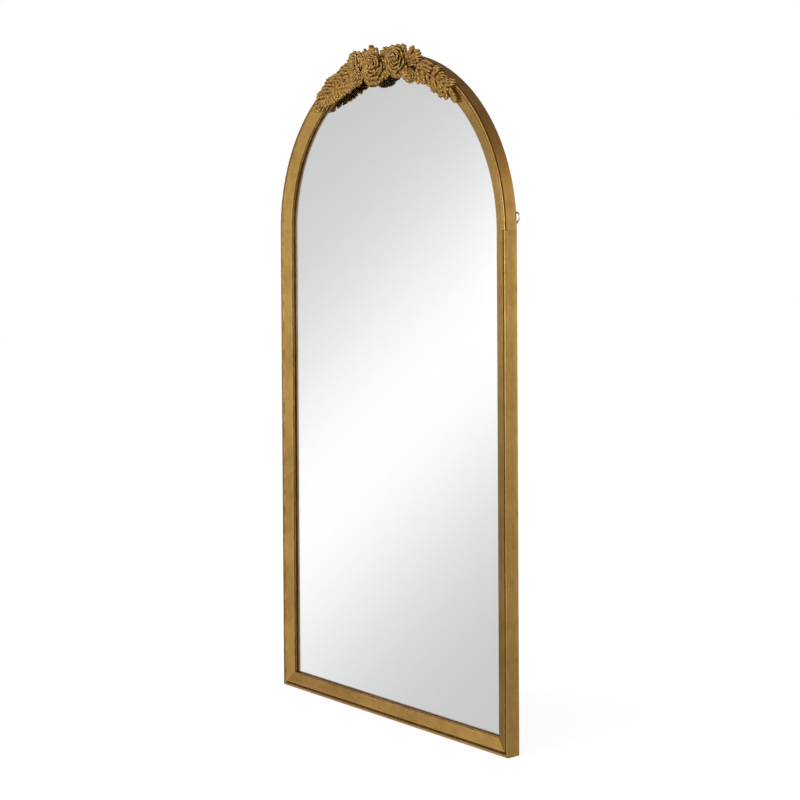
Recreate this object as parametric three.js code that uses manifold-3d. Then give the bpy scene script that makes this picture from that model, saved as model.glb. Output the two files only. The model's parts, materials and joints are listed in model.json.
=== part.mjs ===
// Arched floor mirror: a gilded wooden frame with a carved rose crest, a silvered pane held in a
// rebate by steel points over a backing board, and two ring hangers screwed to the back.
// Millimetres. X is to the right, Y to the back, Z up. The origin is the middle of the bottom face.
import * as THREE from "three";
import { mergeVertices } from "three/addons/utils/BufferGeometryUtils.js";
import Module from "manifold-3d";

const wasm = await Module();
wasm.setup();

// Overall sizes: a half round arch on two straight stiles
const frameWidth = 887;
const straightHeight = 1231;
const frameDepth = 39;

// Moulding, from its outer side inwards: a round bead, a quirk, a sloping face and the sight edge
const mouldingWidth = 39.3;
const beadWidth = 10.4;
const beadHeight = 3.4;
const quirkWidth = 0.9;
const quirkStep = 0.8;
const faceFall = 6.3;
const edgeBevel = 2.3;
const edgeDrop = 1.3;
const ledgeDepth = 16.6;
const rebateWidth = 10.3;

// Pane, board and the clearances round them
const paneThickness = 5;
const boardThickness = 3;
const paneClearance = 1.2;
const seatGap = 0.3;
const seamGap = 0.24;

// Joinery hidden in the frame
const dowelRadius = 4;
const dowelLength = 34;
const splineThickness = 3;
const splineWidth = 14;
const splineMargin = 3;

// Steel points that hold the board in the rebate
const pointThickness = 1;
const pointWidth = 10;
const pointLength = 15;
const pointGrip = 6;
const pointTaper = 3;
const pointSpacing = 330;

// Ring hangers
const hangerInset = 14.5;
const hingeRise = 41;
const strapWidth = 14;
const strapThickness = 1.6;
const strapLength = 58;
const strapTaper = 3;
const ringWire = 4;
const ringRadius = 17.5;
const ringBarRise = 9;
const screwSpacing = 13.5;
const screwEnd = 7.5;

// Screws
const hangerScrewRadius = 1.7;
const hangerScrewLength = 12;
const hangerHeadRadius = 3.6;
const crestScrewRadius = 2.2;
const crestScrewBite = 8;
const crestHeadRadius = 4.6;
const headRise = 2.2;

// Rubber pads that keep the back off the wall
const padRadius = 7;
const padThickness = 3;
const padTopShare = 0.9;
const padInset = 14.5;
const padRise = 60;

// Crest: how far it reaches along the arch to each side, and the roses on it
const crestReach = 328;
const crestBand = 64;
const roseLeftRadius = 54;
const roseRightRadius = 50;
const smallRoseRadius = 29;
const blossomRadius = 31;
const roseDepth = 25;
const smallRoseDepth = 17;
const blossomDepth = 15;
const leafHeight = 10;
const stemWidth = 9;
const petalThickness = 3.2;
const smallPetalThickness = 2.4;
const overhangDepth = 1.5;

// How finely the round forms are cut
const archSteps = 36;
const crownStepShare = 1 / 3;
const beadSteps = 6;
const screwSides = 8;
const loopSteps = 12;
const ringSides = 8;
const ringSteps = 16;
const weld = 1e-4;

// Sizes that follow from the ones above
const archRadius = frameWidth / 2;
const frontY = -frameDepth / 2;
const backY = frameDepth / 2;
const faceStart = beadWidth + quirkWidth;
const faceTop = beadHeight - quirkStep;
const faceEnd = mouldingWidth - edgeBevel;
const faceEndDepth = faceTop + faceFall;
const sightDepth = faceEndDepth + edgeDrop;
const rebateInset = mouldingWidth - rebateWidth;
const paneInset = rebateInset + paneClearance;
const paneFront = ledgeDepth + seatGap;
const boardFront = paneFront + paneThickness + seatGap;
const boardBack = boardFront + boardThickness;
const crestScrewInset = rebateInset / 2;

// Materials
const finish = {
  gilt: { color: 0xb08d4a, roughness: 0.42, metalness: 0.75 },
  wood: { color: 0x9a7448, roughness: 0.8, metalness: 0 },
  mirror: { color: 0xd9dde0, roughness: 0.03, metalness: 1 },
  board: { color: 0x6d5640, roughness: 0.9, metalness: 0 },
  steel: { color: 0xb9bcc0, roughness: 0.25, metalness: 1 },
  rubber: { color: 0x2a2a2a, roughness: 0.85, metalness: 0 },
};

// A geometry as a solid for joining and cutting
function solidOf(geometry) {
  const bare = geometry.clone();
  bare.deleteAttribute("normal");
  bare.deleteAttribute("uv");
  const merged = mergeVertices(bare, weld);
  const make = (triVerts) =>
    new wasm.Manifold(
      new wasm.Mesh({ numProp: 3, vertProperties: merged.attributes.position.array, triVerts }),
    );
  const triVerts = new Uint32Array(merged.index.array);
  const solid = make(triVerts);
  return solid.volume() < 0 ? make(triVerts.toReversed()) : solid;
}

// A solid back as a geometry
function geometryOf(solid) {
  const mesh = solid.getMesh();
  const geometry = new THREE.BufferGeometry();
  geometry.setAttribute("position", new THREE.BufferAttribute(mesh.vertProperties, 3));
  geometry.setIndex(new THREE.BufferAttribute(mesh.triVerts, 1));
  return geometry;
}

const joined = (solids) => solids.reduce((whole, next) => whole.add(next));
const cut = (solid, tools) => tools.reduce((left, tool) => left.subtract(tool), solid);

// The largest body of a solid whose corners a neighbour has cut off
function largestBody(solid) {
  return solid.decompose().reduce((best, next) => (next.volume() > best.volume() ? next : best));
}

const root = new THREE.Group();
root.name = "floor_mirror";

function addMesh(parent, name, geometry, look) {
  const mesh = new THREE.Mesh(geometry, new THREE.MeshStandardMaterial(look));
  mesh.name = name;
  parent.add(mesh);
  return mesh;
}

const addSolid = (parent, name, solid, look) => addMesh(parent, name, geometryOf(solid), look);

// A skin over rings of points that follow one section, with flat ends, or closed on itself
function loft(rings, closed = false) {
  const count = rings[0].length;
  const position = rings.flat().flatMap((point) => point.toArray());
  const index = [];
  const spans = closed ? rings.length : rings.length - 1;
  for (let ring = 0; ring < spans; ring++) {
    for (let corner = 0; corner < count; corner++) {
      const a = ring * count + corner;
      const b = ring * count + ((corner + 1) % count);
      const c = ((ring + 1) % rings.length) * count + ((corner + 1) % count);
      const d = ((ring + 1) % rings.length) * count + corner;
      index.push(a, b, c, a, c, d);
    }
  }
  if (!closed) {
    const last = (rings.length - 1) * count;
    for (const [a, b, c] of capOf(rings[0])) index.push(a, c, b);
    for (const [a, b, c] of capOf(rings.at(-1))) index.push(last + a, last + b, last + c);
  }
  const geometry = new THREE.BufferGeometry();
  geometry.setAttribute("position", new THREE.Float32BufferAttribute(position, 3));
  geometry.setIndex(index);
  return geometry;
}

// Triangles over a flat ring, all turning the way its points do
function capOf(ring) {
  const normal = new THREE.Vector3();
  ring.forEach((point, i) => normal.add(point.clone().cross(ring[(i + 1) % ring.length])));
  normal.normalize();
  const across = ring[1].clone().sub(ring[0]).normalize();
  const up = normal.clone().cross(across);
  const flat = ring.map((point) => new THREE.Vector2(point.dot(across), point.dot(up)));
  const turn = (a, b, c) => flat[b].clone().sub(flat[a]).cross(flat[c].clone().sub(flat[a]));
  return THREE.ShapeUtils.triangulateShape(flat, []).map(([a, b, c]) =>
    turn(a, b, c) > 0 ? [a, b, c] : [a, c, b],
  );
}

// Frame

// Front of the moulding as [inset from the outer side, depth behind the front]
function mouldingFront() {
  const points = [];
  for (let i = 0; i <= beadSteps; i++) {
    const turn = (Math.PI * i) / beadSteps;
    points.push([(beadWidth * (1 - Math.cos(turn))) / 2, beadHeight * (1 - Math.sin(turn))]);
  }
  points.push([faceStart, faceTop], [faceEnd, faceEndDepth], [mouldingWidth, sightDepth]);
  return points;
}

const section = [
  [0, frameDepth],
  ...mouldingFront(),
  [mouldingWidth, ledgeDepth],
  [rebateInset, ledgeDepth],
  [rebateInset, frameDepth],
];

// A straight member is the section drawn between two ends, each given as a length for an inset
function member(placeAt, startAt, endAt) {
  const ringAt = (lengthAt) =>
    section.map(([inset, depth]) => placeAt(inset, frontY + depth, lengthAt(inset)));
  return solidOf(loft([ringAt(startAt), ringAt(endAt)]));
}

// A curved member is the section swept round the arch, from one step of it to another
const stepAngle = Math.PI / archSteps;

function archPoint(inset, depth, angle) {
  const radius = archRadius - inset;
  return new THREE.Vector3(
    radius * Math.sin(angle),
    frontY + depth,
    straightHeight + radius * Math.cos(angle),
  );
}

function archSweep(profile, firstStep, lastStep, seam) {
  const rings = [];
  for (let step = firstStep; step <= lastStep; step++) {
    let angle = step * stepAngle;
    if (step === firstStep) angle += seam / archRadius;
    if (step === lastStep) angle -= seam / archRadius;
    rings.push(profile.map(([inset, depth]) => archPoint(inset, depth, angle)));
  }
  return solidOf(loft(rings));
}

const halfSeam = seamGap / 2;
const mitreSeam = halfSeam * Math.SQRT2;
const crownSteps = Math.round((archSteps * crownStepShare) / 2);
const springSteps = archSteps / 2;
const crownAngle = crownSteps * stepAngle;

// Round and square cutters
function rod(radius, length, sides, placement) {
  const geometry = new THREE.CylinderGeometry(radius, radius, length, sides);
  return solidOf(geometry.applyMatrix4(placement));
}

function block(width, depth, height, placement) {
  return solidOf(new THREE.BoxGeometry(width, depth, height).applyMatrix4(placement));
}

// A placement at a point whose own Y axis lies along a direction and whose Z axis faces back
function along(point, direction) {
  const y = direction.clone().normalize();
  const z = new THREE.Vector3(0, 1, 0);
  const x = y.clone().cross(z).normalize();
  return new THREE.Matrix4().makeBasis(x, y, z).setPosition(point);
}

// Dowels: two in each joint of the arch, side by side inside the solid part of the section
const dowelDepth = (frameDepth + faceTop) / 2;
const dowelInsets = [rebateInset / 4 + seatGap, (rebateInset * 3) / 4];
const archJoints = [
  { name: "spring_left", angle: -Math.PI / 2 },
  { name: "crown_left", angle: -crownAngle },
  { name: "crown_right", angle: crownAngle },
  { name: "spring_right", angle: Math.PI / 2 },
];
const dowels = archJoints.flatMap(({ name, angle }) =>
  dowelInsets.map((inset, i) => ({
    name: `dowel_${name}_${i + 1}`,
    placement: along(
      archPoint(inset, dowelDepth, angle),
      new THREE.Vector3(Math.cos(angle), 0, -Math.sin(angle)),
    ),
  })),
);
const dowelHoles = dowels.map(({ placement }) =>
  rod(dowelRadius + seatGap, dowelLength + 2 * seatGap, screwSides, placement),
);

// Splines: a loose tongue across each mitred corner
const splineDepth = (ledgeDepth + frameDepth) / 2;
const splineInset = rebateInset / 2;
const splines = [-1, 1].map((side) => ({
  name: side < 0 ? "corner_spline_left" : "corner_spline_right",
  placement: along(
    new THREE.Vector3(side * (archRadius - splineInset), frontY + splineDepth, splineInset),
    new THREE.Vector3(-side, 0, 1),
  ),
}));
const splineLength = rebateInset * Math.SQRT2 - splineWidth - 2 * splineMargin;
const splineBox = (placement, clear) =>
  block(splineWidth + clear, splineLength + clear, splineThickness + clear, placement);
const splineSlots = splines.map(({ placement }) => splineBox(placement, 2 * seatGap));

// Steel points, spread evenly along the straight members and round the arch
const straightRun = straightHeight - rebateInset;
const stilePoints = Math.round(straightRun / pointSpacing);
const railRun = frameWidth - 2 * rebateInset;
const railPoints = Math.round(railRun / pointSpacing);
const archPoints = 4;
const pointDepth = boardBack + seatGap + pointThickness / 2;
const pointCentre = rebateInset + pointLength / 2 - pointGrip;
const points = [];
for (let i = 0; i < stilePoints; i++) {
  const rise = rebateInset + (straightRun * (i + 1 / 2)) / stilePoints;
  for (const side of [-1, 1]) {
    points.push({
      at: new THREE.Vector3(side * (archRadius - pointCentre), frontY + pointDepth, rise),
      inward: new THREE.Vector3(-side, 0, 0),
    });
  }
}
for (let i = 0; i < railPoints; i++) {
  const shift = railRun * ((i + 1 / 2) / railPoints - 1 / 2);
  points.push({
    at: new THREE.Vector3(shift, frontY + pointDepth, pointCentre),
    inward: new THREE.Vector3(0, 0, 1),
  });
}
for (let i = 0; i < archPoints; i++) {
  const angle = Math.PI * ((i + 1 / 2) / archPoints - 1 / 2);
  points.push({
    at: archPoint(pointCentre, pointDepth, angle),
    inward: new THREE.Vector3(-Math.sin(angle), 0, -Math.cos(angle)),
  });
}

// One point: a small flat tab with a tapered end that is driven into the wood
function pointShape(clear) {
  const half = pointWidth / 2 + clear;
  const blunt = half - pointTaper / 2;
  const tail = -pointLength / 2 - clear;
  const head = pointLength / 2 + clear;
  return new THREE.Shape([
    new THREE.Vector2(-blunt, tail),
    new THREE.Vector2(blunt, tail),
    new THREE.Vector2(half, tail + pointTaper),
    new THREE.Vector2(half, head),
    new THREE.Vector2(-half, head),
    new THREE.Vector2(-half, tail + pointTaper),
  ]);
}

function pointSolid({ at, inward }, clear) {
  const depth = pointThickness + 2 * clear;
  const geometry = new THREE.ExtrudeGeometry(pointShape(clear), { depth, bevelEnabled: false });
  geometry.translate(0, 0, -depth / 2);
  return solidOf(geometry.applyMatrix4(along(at, inward)));
}

const pointSlots = points.map((point) => pointSolid(point, seatGap));

// Hangers: the plate's screws, from the hinge downwards
const hangers = [-1, 1].map((side) => ({
  side,
  name: side < 0 ? "left" : "right",
  hinge: new THREE.Vector3(side * (archRadius - hangerInset), backY, straightHeight + hingeRise),
}));
const screwDrops = [strapLength - screwEnd - screwSpacing, strapLength - screwEnd];

function screwGeometry(radius, length, headRadius, rise, clear) {
  const head = headRadius + clear;
  const shank = radius + clear;
  const profile = [
    [0, -length - clear],
    [shank / 2, -length - clear],
    [shank, shank - length - clear],
    [shank, 0],
    [head, 0],
    [head, rise / 2],
    [head / 2, rise],
    [0, rise],
  ].map(([x, y]) => new THREE.Vector2(x, y));
  return new THREE.LatheGeometry(profile, screwSides);
}

const hangerScrews = hangers.flatMap(({ name, hinge }) =>
  screwDrops.map((drop, i) => ({
    name: `hanger_screw_${name}_${i + 1}`,
    at: hinge.clone().add(new THREE.Vector3(0, 0, -drop)),
  })),
);
const hangerPilots = hangerScrews.map(({ at }) =>
  rod(
    hangerScrewRadius + seatGap,
    2 * hangerScrewLength,
    screwSides,
    new THREE.Matrix4().setPosition(at),
  ),
);

// Crest screws: from the back, through the crown and into the two large roses
const bloomPlaceShares = {
  rose_large_left: [-0.116, 0.656],
  rose_large_right: [0.159, 0.328],
  rose_small_left: [-0.351, 0.672],
  rose_small_right: [0.366, 0.75],
  blossom_left: [-0.323, 0.047],
};
const crestAngle = (alongShare) => (alongShare * crestReach) / archRadius;
const crestScrewLength = frameDepth + crestScrewBite - faceTop;
const crestScrews = ["left", "right"].map((side) => ({
  name: `crest_screw_${side}`,
  at: archPoint(
    crestScrewInset,
    frameDepth - headRise,
    crestAngle(bloomPlaceShares[`rose_large_${side}`][0]),
  ),
}));
const crestScrewHoles = crestScrews.flatMap(({ at }) => [
  rod(
    crestScrewRadius + seatGap,
    2 * (crestScrewLength + seatGap),
    screwSides,
    new THREE.Matrix4().setPosition(at),
  ),
  rod(
    crestHeadRadius + seatGap,
    2 * headRise,
    screwSides,
    new THREE.Matrix4().setPosition(at.clone().setY(backY)),
  ),
]);

// The frame's own pieces
const nearby = (solid, tools) => {
  const { min, max } = solid.boundingBox();
  return tools.filter((tool) => {
    const box = tool.boundingBox();
    return [0, 1, 2].every((axis) => box.min[axis] < max[axis] && box.max[axis] > min[axis]);
  });
};
const frameCutters = [
  ...dowelHoles,
  ...splineSlots,
  ...pointSlots,
  ...hangerPilots,
  ...crestScrewHoles,
];
const framePieces = {
  stile_left: member(
    (inset, y, length) => new THREE.Vector3(inset - archRadius, y, length),
    (inset) => inset + mitreSeam,
    () => straightHeight - halfSeam,
  ),
  stile_right: member(
    (inset, y, length) => new THREE.Vector3(archRadius - inset, y, length),
    (inset) => inset + mitreSeam,
    () => straightHeight - halfSeam,
  ),
  bottom_rail: member(
    (inset, y, length) => new THREE.Vector3(length, y, inset),
    (inset) => inset + mitreSeam - archRadius,
    (inset) => archRadius - inset - mitreSeam,
  ),
  arch_left: archSweep(section, -springSteps, -crownSteps, halfSeam),
  arch_crown: archSweep(section, -crownSteps, crownSteps, halfSeam),
  arch_right: archSweep(section, crownSteps, springSteps, halfSeam),
};
for (const [name, solid] of Object.entries(framePieces)) {
  addSolid(root, name, cut(solid, nearby(solid, frameCutters)), finish.gilt);
}
for (const { name, placement } of dowels) {
  addSolid(root, name, rod(dowelRadius, dowelLength, screwSides, placement), finish.wood);
}
for (const { name, placement } of splines) {
  addSolid(root, name, splineBox(placement, 0), finish.wood);
}

// Pane and board: the same arched outline, one behind the other
function archedPlate(name, inset, front, thickness, look) {
  const half = archRadius - inset;
  const outline = new THREE.Shape();
  outline.moveTo(-half, inset);
  outline.lineTo(half, inset);
  outline.lineTo(half, straightHeight);
  outline.absarc(0, straightHeight, half, 0, Math.PI, false);
  outline.closePath();
  const geometry = new THREE.ExtrudeGeometry(outline, {
    depth: thickness,
    bevelEnabled: false,
    curveSegments: archSteps / 2,
  });
  const mesh = addSolid(root, name, solidOf(geometry), look);
  mesh.rotation.x = Math.PI / 2;
  mesh.position.y = frontY + front + thickness;
}

archedPlate("mirror_pane", paneInset, paneFront, paneThickness, finish.mirror);
archedPlate("backing_board", paneInset, boardFront, boardThickness, finish.board);

points.forEach((point, i) => {
  const name = `retaining_point_${String(i + 1).padStart(2, "0")}`;
  addSolid(root, name, pointSolid(point, 0), finish.steel);
});

// Hanger strap: a plate whose top is rolled round the bar of the ring
const wireRadius = ringWire / 2;
const loopInner = wireRadius + seatGap;
const loopOuter = loopInner + strapThickness;

function strapSolid() {
  const side = new THREE.Shape();
  side.moveTo(0, -strapLength);
  side.lineTo(strapThickness, strapTaper - strapLength);
  side.lineTo(strapThickness, -loopInner);
  side.absarc(loopOuter, 0, loopOuter, Math.PI + Math.asin(loopInner / loopOuter), Math.PI, false);
  side.closePath();
  const bore = new THREE.Path();
  bore.absarc(loopOuter, 0, loopInner, 0, 2 * Math.PI, true);
  side.holes.push(bore);
  const geometry = new THREE.ExtrudeGeometry(side, {
    depth: strapWidth,
    bevelEnabled: false,
    curveSegments: loopSteps,
  });
  geometry.translate(0, 0, -strapWidth / 2);
  const turned = new THREE.Matrix4().makeBasis(
    new THREE.Vector3(0, 1, 0),
    new THREE.Vector3(0, 0, 1),
    new THREE.Vector3(1, 0, 0),
  );
  const holes = screwDrops.map((drop) =>
    rod(
      hangerScrewRadius + seatGap,
      4 * strapThickness,
      screwSides,
      new THREE.Matrix4().setPosition(0, 0, -drop),
    ),
  );
  return cut(solidOf(geometry.applyMatrix4(turned)), holes);
}

// Hanger ring: round wire bent to a D, whose straight bar turns in the strap
function ringSolid() {
  const barHalf = Math.sqrt(ringRadius ** 2 - ringBarRise ** 2);
  const corner = Math.atan2(ringBarRise, barHalf);
  const path = [];
  for (let i = 0; i <= ringSteps; i++) {
    const angle = corner - ((Math.PI + 2 * corner) * i) / ringSteps;
    path.push(new THREE.Vector2(Math.cos(angle), Math.sin(angle)).multiplyScalar(ringRadius));
  }
  const rings = path.map((point, i) => {
    const before = path.at(i - 1);
    const after = path[(i + 1) % path.length];
    const run = after.clone().sub(point).normalize().add(point.clone().sub(before).normalize());
    const side = new THREE.Vector2(run.y, -run.x).normalize();
    const stretch = 2 / run.length();
    return Array.from({ length: ringSides }, (_, k) => {
      const turn = (2 * Math.PI * (k + 1 / 2)) / ringSides;
      const spread = wireRadius * Math.cos(turn) * stretch;
      return new THREE.Vector3(
        point.x + side.x * spread,
        wireRadius * Math.sin(turn),
        point.y + side.y * spread - ringBarRise,
      );
    });
  });
  return solidOf(loft(rings, true));
}

for (const { name, hinge } of hangers) {
  const hanger = new THREE.Group();
  hanger.position.copy(hinge);
  root.add(hanger);
  addSolid(hanger, `hanger_strap_${name}`, strapSolid(), finish.steel);
  const ring = addSolid(hanger, `hanger_ring_${name}`, ringSolid(), finish.steel);
  ring.position.y = loopOuter;
}
for (const { name, at } of hangerScrews) {
  const geometry = screwGeometry(hangerScrewRadius, hangerScrewLength, hangerHeadRadius, headRise, 0);
  const screw = addSolid(root, name, solidOf(geometry), finish.steel);
  screw.position.copy(at).setY(backY + strapThickness + seatGap);
}
for (const { name, at } of crestScrews) {
  const geometry = screwGeometry(crestScrewRadius, crestScrewLength, crestHeadRadius, headRise, 0);
  const screw = addSolid(root, name, solidOf(geometry), finish.steel);
  screw.position.copy(at);
}

// Rubber pads low on the back of the stiles
for (const side of [-1, 1]) {
  const geometry = new THREE.CylinderGeometry(
    padRadius * padTopShare,
    padRadius,
    padThickness,
    2 * screwSides,
  );
  const name = side < 0 ? "wall_pad_left" : "wall_pad_right";
  const pad = addSolid(root, name, solidOf(geometry), finish.rubber);
  pad.position.set(side * (archRadius - padInset), backY + padThickness / 2, padRise);
}

// Crest

// The moulding's front from the crown of its bead inwards
const seatFront = mouldingFront().slice(beadSteps / 2);

// How far behind the front the moulding's surface lies at an inset
function seatDepth(inset) {
  if (inset <= beadWidth / 2) return 0;
  if (inset >= mouldingWidth) return sightDepth;
  const next = seatFront.findIndex(([x]) => x > inset);
  const [x0, d0] = seatFront[next - 1];
  const [x1, d1] = seatFront[next];
  return d0 + ((d1 - d0) * (inset - x0)) / (x1 - x0);
}

// The ornaments are cut by the moulding's front, swept a little proud of it, and are thin where
// they reach past the moulding on either side
const crestMargin = crestReach / 4;
const seatProfile = [
  [-crestMargin, crestMargin],
  [-crestMargin, -seatGap],
  ...seatFront.map(([inset, depth]) => [inset, depth - seatGap]),
  [mouldingWidth + seatGap, overhangDepth],
  [mouldingWidth + crestMargin, overhangDepth],
  [mouldingWidth + crestMargin, crestMargin],
];
const crestSweep = (crestReach + crestMargin) / archRadius;
const crestSteps = Math.min(springSteps, Math.ceil(crestSweep / stepAngle));
const seatCutter = archSweep(seatProfile, -crestSteps, crestSteps, 0);

// A frame of axes at a place on the arch: x along it, y outwards, z to the front
function crestFrame([alongShare, insetShare]) {
  const angle = crestAngle(alongShare);
  const x = new THREE.Vector3(Math.cos(angle), 0, -Math.sin(angle));
  const y = new THREE.Vector3(Math.sin(angle), 0, Math.cos(angle));
  const at = archPoint(insetShare * crestBand, 0, angle);
  return new THREE.Matrix4().makeBasis(x, y, new THREE.Vector3(0, -1, 0)).setPosition(at);
}

// A closed sheet through a grid of points, thicker or thinner over the grid
function sheet(pointAt, thicknessAt, across, lengthwise) {
  const reach = 1e-3;
  const positions = [];
  for (const side of [1, -1]) {
    for (let row = 0; row <= lengthwise; row++) {
      for (let column = 0; column <= across; column++) {
        const s = (2 * column) / across - 1;
        const t = row / lengthwise;
        const alongS = pointAt(s + reach, t).sub(pointAt(s - reach, t));
        const alongT = pointAt(s, t + reach).sub(pointAt(s, t - reach));
        const normal = alongS.cross(alongT).normalize();
        const point = pointAt(s, t).addScaledVector(normal, (side * thicknessAt(s, t)) / 2);
        positions.push(...point.toArray());
      }
    }
  }
  const columns = across + 1;
  const half = columns * (lengthwise + 1);
  const index = [];
  for (let row = 0; row < lengthwise; row++) {
    for (let column = 0; column < across; column++) {
      const a = row * columns + column;
      const [b, c, d] = [a + 1, a + columns + 1, a + columns];
      index.push(a, b, c, a, c, d, half + a, half + c, half + b, half + a, half + d, half + c);
    }
  }
  const rim = [];
  for (let column = 0; column < across; column++) rim.push(column);
  for (let row = 0; row < lengthwise; row++) rim.push(row * columns + across);
  for (let column = across; column > 0; column--) rim.push(lengthwise * columns + column);
  for (let row = lengthwise; row > 0; row--) rim.push(row * columns);
  rim.forEach((a, i) => {
    const b = rim[(i + 1) % rim.length];
    index.push(a, half + a, half + b, a, half + b, b);
  });
  const geometry = new THREE.BufferGeometry();
  geometry.setAttribute("position", new THREE.Float32BufferAttribute(positions, 3));
  geometry.setIndex(index);
  return geometry;
}

// Rings of petals, from the bud out. Radii are shares of the rose's radius and heights of its
// depth; spread is a petal's width as a share of its ring's pitch, and tuck slips one side under.
const fullRoseShares = [
  { count: 3, turn: 0.35, base: [0.13, 0.3], tip: [0.3, 1], bulge: 0.06, spread: 1.2, tuck: 0.07 },
  { count: 5, turn: 0.15, base: [0.3, 0.22], tip: [0.63, 0.7], bulge: 0.18, spread: 1.2, tuck: 0.06 },
  { count: 6, turn: 0, base: [0.48, 0.12], tip: [0.95, 0.24], bulge: 0.26, spread: 1.12, tuck: 0.04 },
];
const smallRoseShares = [
  { count: 3, turn: 0.1, base: [0.2, 0.24], tip: [0.46, 0.9], bulge: 0.14, spread: 1.2, tuck: 0.08 },
  { count: 5, turn: 0.45, base: [0.44, 0.12], tip: [0.95, 0.3], bulge: 0.28, spread: 1.15, tuck: 0.04 },
];
const blossomShares = [
  { count: 3, turn: 0.3, base: [0.12, 0.3], tip: [0.44, 0.84], bulge: 0.2, spread: 1, tuck: 0.04 },
  { count: 5, turn: 0, base: [0.34, 0.14], tip: [0.96, 0.34], bulge: 0.3, spread: 1, tuck: 0.03 },
];
const coreShares = [
  [0.84, 0],
  [0.8, 0.14],
  [0.5, 0.3],
  [0.24, 0.5],
  [0.16, 0.84],
  [0.06, 0.96],
];
const largePetal = { across: 3, lengthwise: 2, thickness: petalThickness, coreSides: 9 };
const smallPetal = { across: 2, lengthwise: 2, thickness: smallPetalThickness, coreSides: 9 };
const roomSides = 24;

// One petal, between its base and its tip, wrapped round the axis of the rose
function petal(ring, number, radius, depth, { across, lengthwise, thickness }) {
  const pitch = (2 * Math.PI) / ring.count;
  const middle = (number + ring.turn) * pitch;
  const half = (ring.spread * pitch) / 2;
  const [baseRadius, baseHeight] = ring.base;
  const [tipRadius, tipHeight] = ring.tip;
  const pointAt = (s, t) => {
    const reach = t * (1 - s ** 4 / 7);
    const angle = middle + s * half * (1 - t ** 3 / 6);
    const swell = Math.sin(Math.PI * reach) * (1 - s ** 2 / 3);
    const out = radius * (baseRadius + (tipRadius - baseRadius) * reach + ring.tuck * s);
    const up = depth * (baseHeight + (tipHeight - baseHeight) * reach + ring.bulge * swell);
    return new THREE.Vector3(out * Math.cos(angle), out * Math.sin(angle), up);
  };
  const thicknessAt = (s, t) => thickness * (1 - s ** 2 / 3) * (1 - t ** 3 / 4);
  return solidOf(sheet(pointAt, thicknessAt, across, lengthwise));
}

// A rose: petals round a solid core whose heel reaches down to the moulding
function rose({ radius, depth, rings, petals: form }) {
  const profile = [
    [0, -sightDepth],
    [coreShares[0][0] * radius, -sightDepth],
    ...coreShares.map(([out, up]) => [out * radius, up * depth]),
    [0, depth * coreShares.at(-1)[1]],
  ].map(([x, y]) => new THREE.Vector2(x, y));
  const core = new THREE.LatheGeometry(profile, form.coreSides).rotateX(Math.PI / 2);
  const petals = rings.flatMap((ring) =>
    Array.from({ length: ring.count }, (_, i) => petal(ring, i, radius, depth, form)),
  );
  return joined([solidOf(core), ...petals]);
}

// The round space that a rose takes, with room round it
function roseRoom({ radius, depth }) {
  const height = 2 * (depth + sightDepth);
  const reach = radius / Math.cos(Math.PI / roomSides) + seatGap;
  const geometry = new THREE.CylinderGeometry(reach, reach, height, roomSides);
  return geometry.rotateX(Math.PI / 2).translate(0, 0, height / 2 - 2 * sightDepth);
}

// Leaves: rings of a ridged section along an axis that lies on the moulding
const leafStationShares = [0, 0.3, 0.72, 1];
const leafWidthShares = [0.4, 1, 0.86, 0.26];
const leafHeightShares = [0.62, 1, 0.9, 0.34];
const leafSectionShares = [
  [-1, 0.3],
  [-0.15, 1],
  [1, 0.3],
];
const roomSectionShares = [
  [-1, 3],
  [0, 3],
  [1, 3],
];
const leafSinkShare = 0.35;

// A point over the front of the crest, from its place along and across it
function onCrest([alongShare, insetShare]) {
  return archPoint(insetShare * crestBand, 0, crestAngle(alongShare));
}

function relief(stations, sectionShares, clear) {
  const rings = stations.map(({ centre, side, halfWidth, height }) => {
    const top = sectionShares.map(([across, up]) => {
      const point = centre.clone().addScaledVector(side, across * (halfWidth + clear));
      const inset = archRadius - Math.hypot(point.x, point.z - straightHeight);
      return point.setY(frontY + leafSinkShare * seatDepth(inset) - height * up);
    });
    const foot = [top.at(-1), top[0]].map((point) => point.clone().setY(frontY + sightDepth + clear));
    return [...top, ...foot];
  });
  return solidOf(loft(rings));
}

function leafStations({ root: rootShare, tip: tipShare, width, bend }, clear) {
  const start = onCrest(rootShare);
  const run = onCrest(tipShare).sub(start);
  const side = new THREE.Vector3(run.z, 0, -run.x).normalize();
  const extra = clear / run.length();
  return leafStationShares.map((t, i) => ({
    centre: start
      .clone()
      .addScaledVector(run, t + extra * (2 * t - 1))
      .addScaledVector(side, bend * run.length() * Math.sin(Math.PI * t)),
    side,
    halfWidth: (leafWidthShares[i] * width * crestReach) / 2,
    height: leafHeightShares[i] * leafHeight,
  }));
}

const leaf = (shares) => relief(leafStations(shares, 0), leafSectionShares, 0);
const leafRoom = (shares) => relief(leafStations(shares, seatGap), roomSectionShares, 2 * seatGap);

// The stem follows a curve through a few places on the moulding
function stem(placeShares) {
  const curve = new THREE.CatmullRomCurve3(placeShares.map(onCrest));
  const stations = curve.getPoints(2 * placeShares.length).map((centre, i, all) => {
    const ahead = (all[i + 1] ?? centre).clone().sub(all[i - 1] ?? centre);
    const side = new THREE.Vector3(ahead.z, 0, -ahead.x).normalize();
    const taper = 1 - i / all.length / 2;
    return { centre, side, halfWidth: (stemWidth * taper) / 2, height: leafHeight * taper };
  });
  return relief(stations, leafSectionShares, 0);
}

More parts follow.
